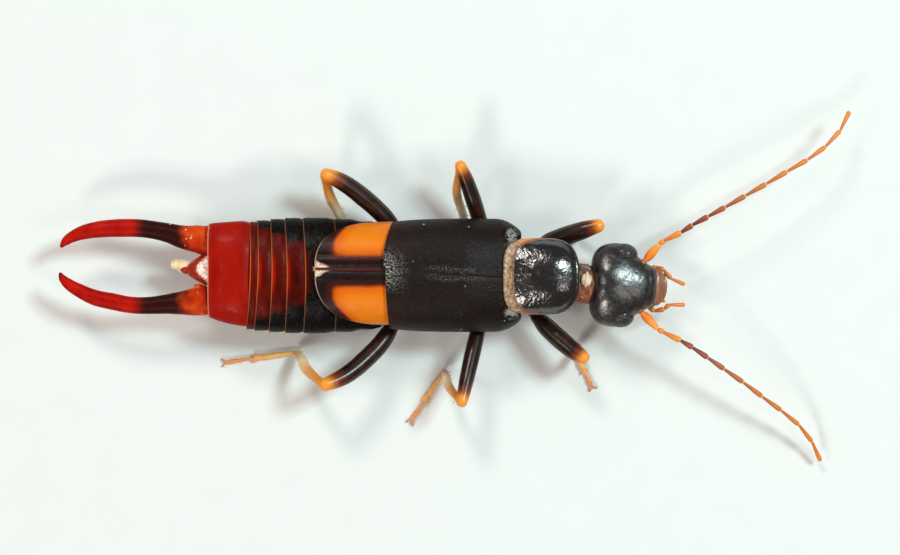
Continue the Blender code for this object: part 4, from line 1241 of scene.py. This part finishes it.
def make_leg(pair, side, model, finishes):
    lacquer, amber, foot_finish, horn = finishes
    coxa, hip, middle, knee, shin_middle, ankle, toe = (Vector(point) for point in LEGS[pair, side])
    name = f"{pair}_{side}"
    thick = THIGH_RADIUS[pair]
    bow = (middle - hip.lerp(knee, 0.5)) * 0.3
    out = (hip - coxa).normalized()
    root_rows = [
        (*(coxa - out * 0.05), 0.28), (*coxa.lerp(hip, 0.35), 0.30),
        (*coxa.lerp(hip, 0.8), 0.24), (*(hip + out * 0.02), 0.17),
    ]
    root = limb(f"coxa_{name}", root_rows)
    ring_rows = [(*hip, 0.17), (*hip.lerp(middle, 0.10), 0.20), (*hip.lerp(middle, 0.18), 0.18)]
    ring = limb(f"trochanter_{name}", ring_rows, steps=3)
    shaft_rows = [
        (*hip.lerp(middle, 0.08), 0.66 * thick), (*(hip.lerp(middle, 0.5) + bow), 0.95 * thick),
        (*middle, thick), (*(middle.lerp(knee, 0.5) + bow), 0.93 * thick), (*knee, 0.70 * thick),
    ]
    shaft = limb(f"femur_{name}", shaft_rows, sides=6, steps=5)
    for piece in (root, ring):
        note_value(piece, "along", 0.2)
    settled(joined(f"thigh_and_hip_{name}", [shaft, root, ring]), lacquer, "femur_brown", f"thigh_{name}")

    slim = SHIN_RADIUS[pair]
    bend = knee + (hip - knee).normalized() * 0.10 - UP * 0.06
    shin_rows = [
        (*bend, 0.85 * slim), (*bend.lerp(shin_middle, 0.35), 0.80 * slim), (*shin_middle, 1.0 * slim),
        (*shin_middle.lerp(ankle, 0.6), 0.95 * slim), (*ankle, 0.72 * slim),
    ]
    shin = limb(f"shin_shaft_{name}", shin_rows, sides=5, steps=4)
    settled(shin, amber, "leg_orange", f"shin_{name}")

    heel = Vector((ankle.x, ankle.y, 0.13))
    toe = Vector((toe.x, toe.y, 0.09))
    run = toe - heel
    stops = [heel - run * 0.02, heel + run * 0.50, heel + run * 0.64, toe]
    pieces = []
    for i, (start, end) in enumerate(pairwise(stops)):
        radius = FOOT_RADIUS * (1.0, 1.05, 0.72)[i]
        wide = radius * (1.0, 1.35, 1.0)[i]
        back = run.normalized() * (0.04 if i else 0.0)
        pieces.append(copied(model, f"foot_{name}_{i}", aimed(start - back, end, radius, wide)))
    foot = joined(f"foot_segments_{name}", pieces)
    mark_along(foot, [heel, toe])
    settled(foot, foot_finish, "leg_orange", f"foot_{name}")
    claws = []
    forward = run.normalized()
    for sign in (1, -1):
        aim = Matrix.Rotation(math.radians(34 * sign), 3, "Z") @ forward
        rows = [
            (*(toe - forward * 0.03), 0.040), (*(toe + aim * 0.10 + UP * 0.012), 0.034),
            (*(toe + aim * 0.19 - UP * 0.02), 0.022), (*(toe + aim * 0.23 - UP * 0.065), 0.008),
        ]
        claws.append(limb(f"claw_{name}_{sign}", rows, sides=3, steps=3))
    settled(joined(f"claws_{name}", claws), horn, "leg_orange")


# Hairs


def bristle_model():
    """A unit hair along X, stiff at its root and drawn to a point."""
    rows = [(0, 0, 1), (0.35, 0, 0.8), (0.75, 0.02, 0.5), (1, 0.05, 0.12)]
    hair = drawn_out("bristle_model", [(x, 0, z, r, r) for x, z, r in rows], 6)
    mark_along(hair, UNIT)
    return hair


def make_bristles(name, model, gold, rows):
    """A set of hairs, each set by its root, the way it points, its length and its thickness."""
    hairs = [
        copied(model, f"{name}_{i}", aimed(root, root + way.normalized() * length, thick))
        for i, (root, way, length, thick) in enumerate(rows)
    ]
    return settled(joined(name, hairs), gold, "leg_orange")


def around(axis, turn):
    """A way that stands square on the axis, turned about it from the side that looks up."""
    side = axis.cross(UP).normalized()
    return Matrix.Rotation(turn, 3, axis) @ side


def hairs_on_leg(pair, side):
    """Spines in two rows below the shin, finer hairs round it, and short ones under the foot."""
    _, _, _, knee, middle, ankle, toe = (Vector(point) for point in LEGS[pair, side])
    chance = random.Random(f"{pair}{side}")
    rows = []
    for start, end, share, radius in ((knee, middle, 0.5, 0.11), (middle, ankle, 0.85, 0.12)):
        axis = (end - start).normalized()
        for i in range(9):
            root = start.lerp(end, 0.15 + share * i / 9)
            out = around(axis, chance.uniform(0, 2 * math.pi))
            rows.append((root + out * radius, out + axis * 1.1, chance.uniform(0.10, 0.17), 0.0065))
    axis = (ankle - middle).normalized()
    for sign in (1, -1):
        for share in (0.45, 0.70, 0.92):
            out = around(axis, math.radians(90 + 70 * sign))
            rows.append((middle.lerp(ankle, share) + out * 0.10, out + axis * 0.9, 0.16, 0.012))
    heel = Vector((ankle.x, ankle.y, 0.12))
    toe = Vector((toe.x, toe.y, 0.10))
    axis = (toe - heel).normalized()
    for i in range(12):
        out = axis.cross(UP) * (1 if i % 2 else -1) + Vector((0, 0, chance.uniform(-0.2, 0.3)))
        root = heel.lerp(toe, 0.10 + 0.07 * i) + out * 0.06
        rows.append((root, out + axis * 0.9, chance.uniform(0.07, 0.12), 0.007))
    return rows


def hairs_on_body():
    """Sparse hairs that stand out from the sides of the abdomen and the roots of the forceps."""
    chance = random.Random(7)
    rows = []
    for front, rear, wide, _ in RINGS[3:]:
        for sign in (1, -1):
            for share in (0.35, 0.8):
                for lift in (-0.18, 0.10):
                    x = front + (rear - front) * share + chance.uniform(-0.05, 0.05)
                    root = Vector((x, ABDOMEN_MIDDLE + sign * (wide - 0.05), ABDOMEN_LEVEL + lift))
                    rows.append((root, Vector((-0.9, sign, 0.35)), chance.uniform(0.12, 0.19), 0.008))
    for side, sign in SIDES.items():
        for x, y, z, radius in FORCEPS[side][1:9]:
            root = Vector((x, y + sign * (radius - 0.02), z + 0.02))
            rows.append((root, Vector((-0.8, sign, 0.3)), chance.uniform(0.08, 0.13), 0.007))
    return rows


# Stage

LAMP_DISTANCE = 240
LAMP_SIZE = 50
# Width of the view at the level of the back, and its middle.
VIEW_WIDTH = 26.55
VIEW_LEVEL = 1.6
VIEW_MIDDLE = Vector((-1.9175, -0.015, 0.0))
LENS = 100
SENSOR = 36


def make_stage():
    bpy.ops.mesh.primitive_plane_add(size=1.2, location=(0, 0, 0))
    floor = bpy.context.active_object
    floor.name = "floor"
    finish = Finish("floor_paper", ior=1.4)
    where = finish.node("ShaderNodeTexCoord", out="Object")
    tooth = finish.node("ShaderNodeTexNoise", {"Vector": where, "Scale": 900.0, "Detail": 3.0})
    finish.set(base_color=finish.mix(tooth, (0.738, 0.784, 0.774), (0.768, 0.814, 0.804)), roughness=0.9)
    floor.data.materials.append(finish.material)


def add_lamp(name, towards, power, colour):
    """A soft box that shines on the middle of the animal."""
    place = Vector(towards).normalized() * LAMP_DISTANCE * MM
    bpy.ops.object.light_add(type="AREA", location=place)
    lamp = bpy.context.active_object
    lamp.name = name
    lamp.data.shape = "SQUARE"
    lamp.data.size = LAMP_SIZE * MM
    lamp.data.energy = power
    lamp.data.color = colour
    lamp.rotation_euler = (-place).to_track_quat("-Z", "Y").to_euler()


def make_light():
    world = bpy.data.worlds.new("studio")
    bpy.context.scene.world = world
    world.use_nodes = True
    backdrop = world.node_tree.nodes["Background"]
    backdrop.inputs["Color"].default_value = (1.0, 0.88, 0.82, 1.0)
    backdrop.inputs["Strength"].default_value = 0.17
    pale = (1.0, 0.91, 0.85)
    add_lamp("key", (29, 16, 44), 0.365, (0.80, 0.98, 1.0))
    add_lamp("far", (-16, 41, 44), 0.20, pale)
    add_lamp("near", (-18, -43, 44), 0.18, pale)
    add_lamp("ahead", (30, -14, 46), 0.05, pale)
    add_lamp("behind", (-36, -6, 46), 0.075, pale)
    bpy.context.scene.view_settings.view_transform = "Standard"


def make_camera():
    """Straight above the animal, framed as the photo is."""
    middle = VIEW_MIDDLE + HOME
    height = VIEW_WIDTH * LENS / SENSOR + VIEW_LEVEL
    bpy.ops.object.camera_add(location=(middle.x * MM, middle.y * MM, height * MM), rotation=(0, 0, 0))
    camera = bpy.context.active_object
    camera.data.lens = LENS
    camera.data.sensor_width = SENSOR
    camera.data.clip_start = 0.001
    camera.data.clip_end = 5.0
    bpy.context.scene.camera = camera


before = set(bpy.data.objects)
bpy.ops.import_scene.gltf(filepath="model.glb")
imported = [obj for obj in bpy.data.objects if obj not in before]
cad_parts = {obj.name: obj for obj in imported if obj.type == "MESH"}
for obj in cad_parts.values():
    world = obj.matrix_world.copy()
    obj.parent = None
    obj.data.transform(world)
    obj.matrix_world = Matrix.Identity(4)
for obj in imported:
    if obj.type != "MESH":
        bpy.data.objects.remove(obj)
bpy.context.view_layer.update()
shield_low, shield_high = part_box("pronotum")
# How far the model is moved, in millimetres, so that its neck shield lies over that of the frame.
HOME = Vector((
    (shield_low[0] + shield_high[0]) / 2 / MM - SHIELD_X,
    (shield_low[1] + shield_high[1]) / 2 / MM - SHIELD_Y,
    0.0,
))

make_stage()
make_light()
make_camera()

amber = feeler_amber()
horn = mouth_brown()
cuticle = black_cuticle("body_cuticle", 0.30)
red = plate_red()
cream = neck_skin("pale_skin", rgb(248, 230, 198), rgb(232, 194, 138))

segment = spindle(SEGMENT)
scape = spindle(SCAPE)
make_head(black_cuticle("head_cuticle", 0.24))
facets = eye_black()
for side in SIDES:
    make_eye(side, facets)
    make_jaw(side, horn)
    make_palp(side, segment, amber)
    make_feeler(side, segment, scape, amber, horn)
make_lip(mouth_brown("lip_horn", rgb(166, 112, 76), rgb(84, 42, 28)))
make_lower_lip(segment, horn, amber)

neck_plates = {
    "left": mouth_brown("neck_plate_grey", rgb(128, 110, 90), rgb(70, 54, 42)),
    "right": mouth_brown("neck_plate_horn", rgb(178, 88, 42), rgb(104, 42, 24)),
}
make_neck(
    neck_skin("neck_membrane", rgb(160, 100, 62), rgb(88, 44, 28)),
    neck_plates,
    neck_skin("neck_boss_skin", rgb(240, 220, 200), rgb(188, 160, 134)),
)
make_pronotum(pronotum_black())
make_chest(cuticle, mouth_brown("breast_horn", rgb(74, 44, 32), rgb(38, 22, 18)))
leather = cover_black()
membranes = {"left": tip_orange("left", 0.42, -5.27, 1.12), "right": tip_orange("right", 0.54, -5.29, 1.24)}
for side in SIDES:
    make_wing_cover(side, leather)
    make_wing_tip(side, membranes[side])
make_abdomen(ring_red())
make_last_plate(red)
make_end_shield(shield_red(), cream)
lacquer = forceps_red()
for side in SIDES:
    make_forceps(side, lacquer)
leg_finishes = (thigh_black(), shin_pale(), foot_orange(), claw_brown())
for pair, side in LEGS:
    make_leg(pair, side, segment, leg_finishes)
gold = hair_gold()
bristle = bristle_model()
for pair, side in LEGS:
    make_bristles(f"leg_hairs_{pair}_{side}", bristle, gold, hairs_on_leg(pair, side))
make_bristles("body_hairs", bristle, gold, hairs_on_body())
thrown_away(segment, scape, bristle)
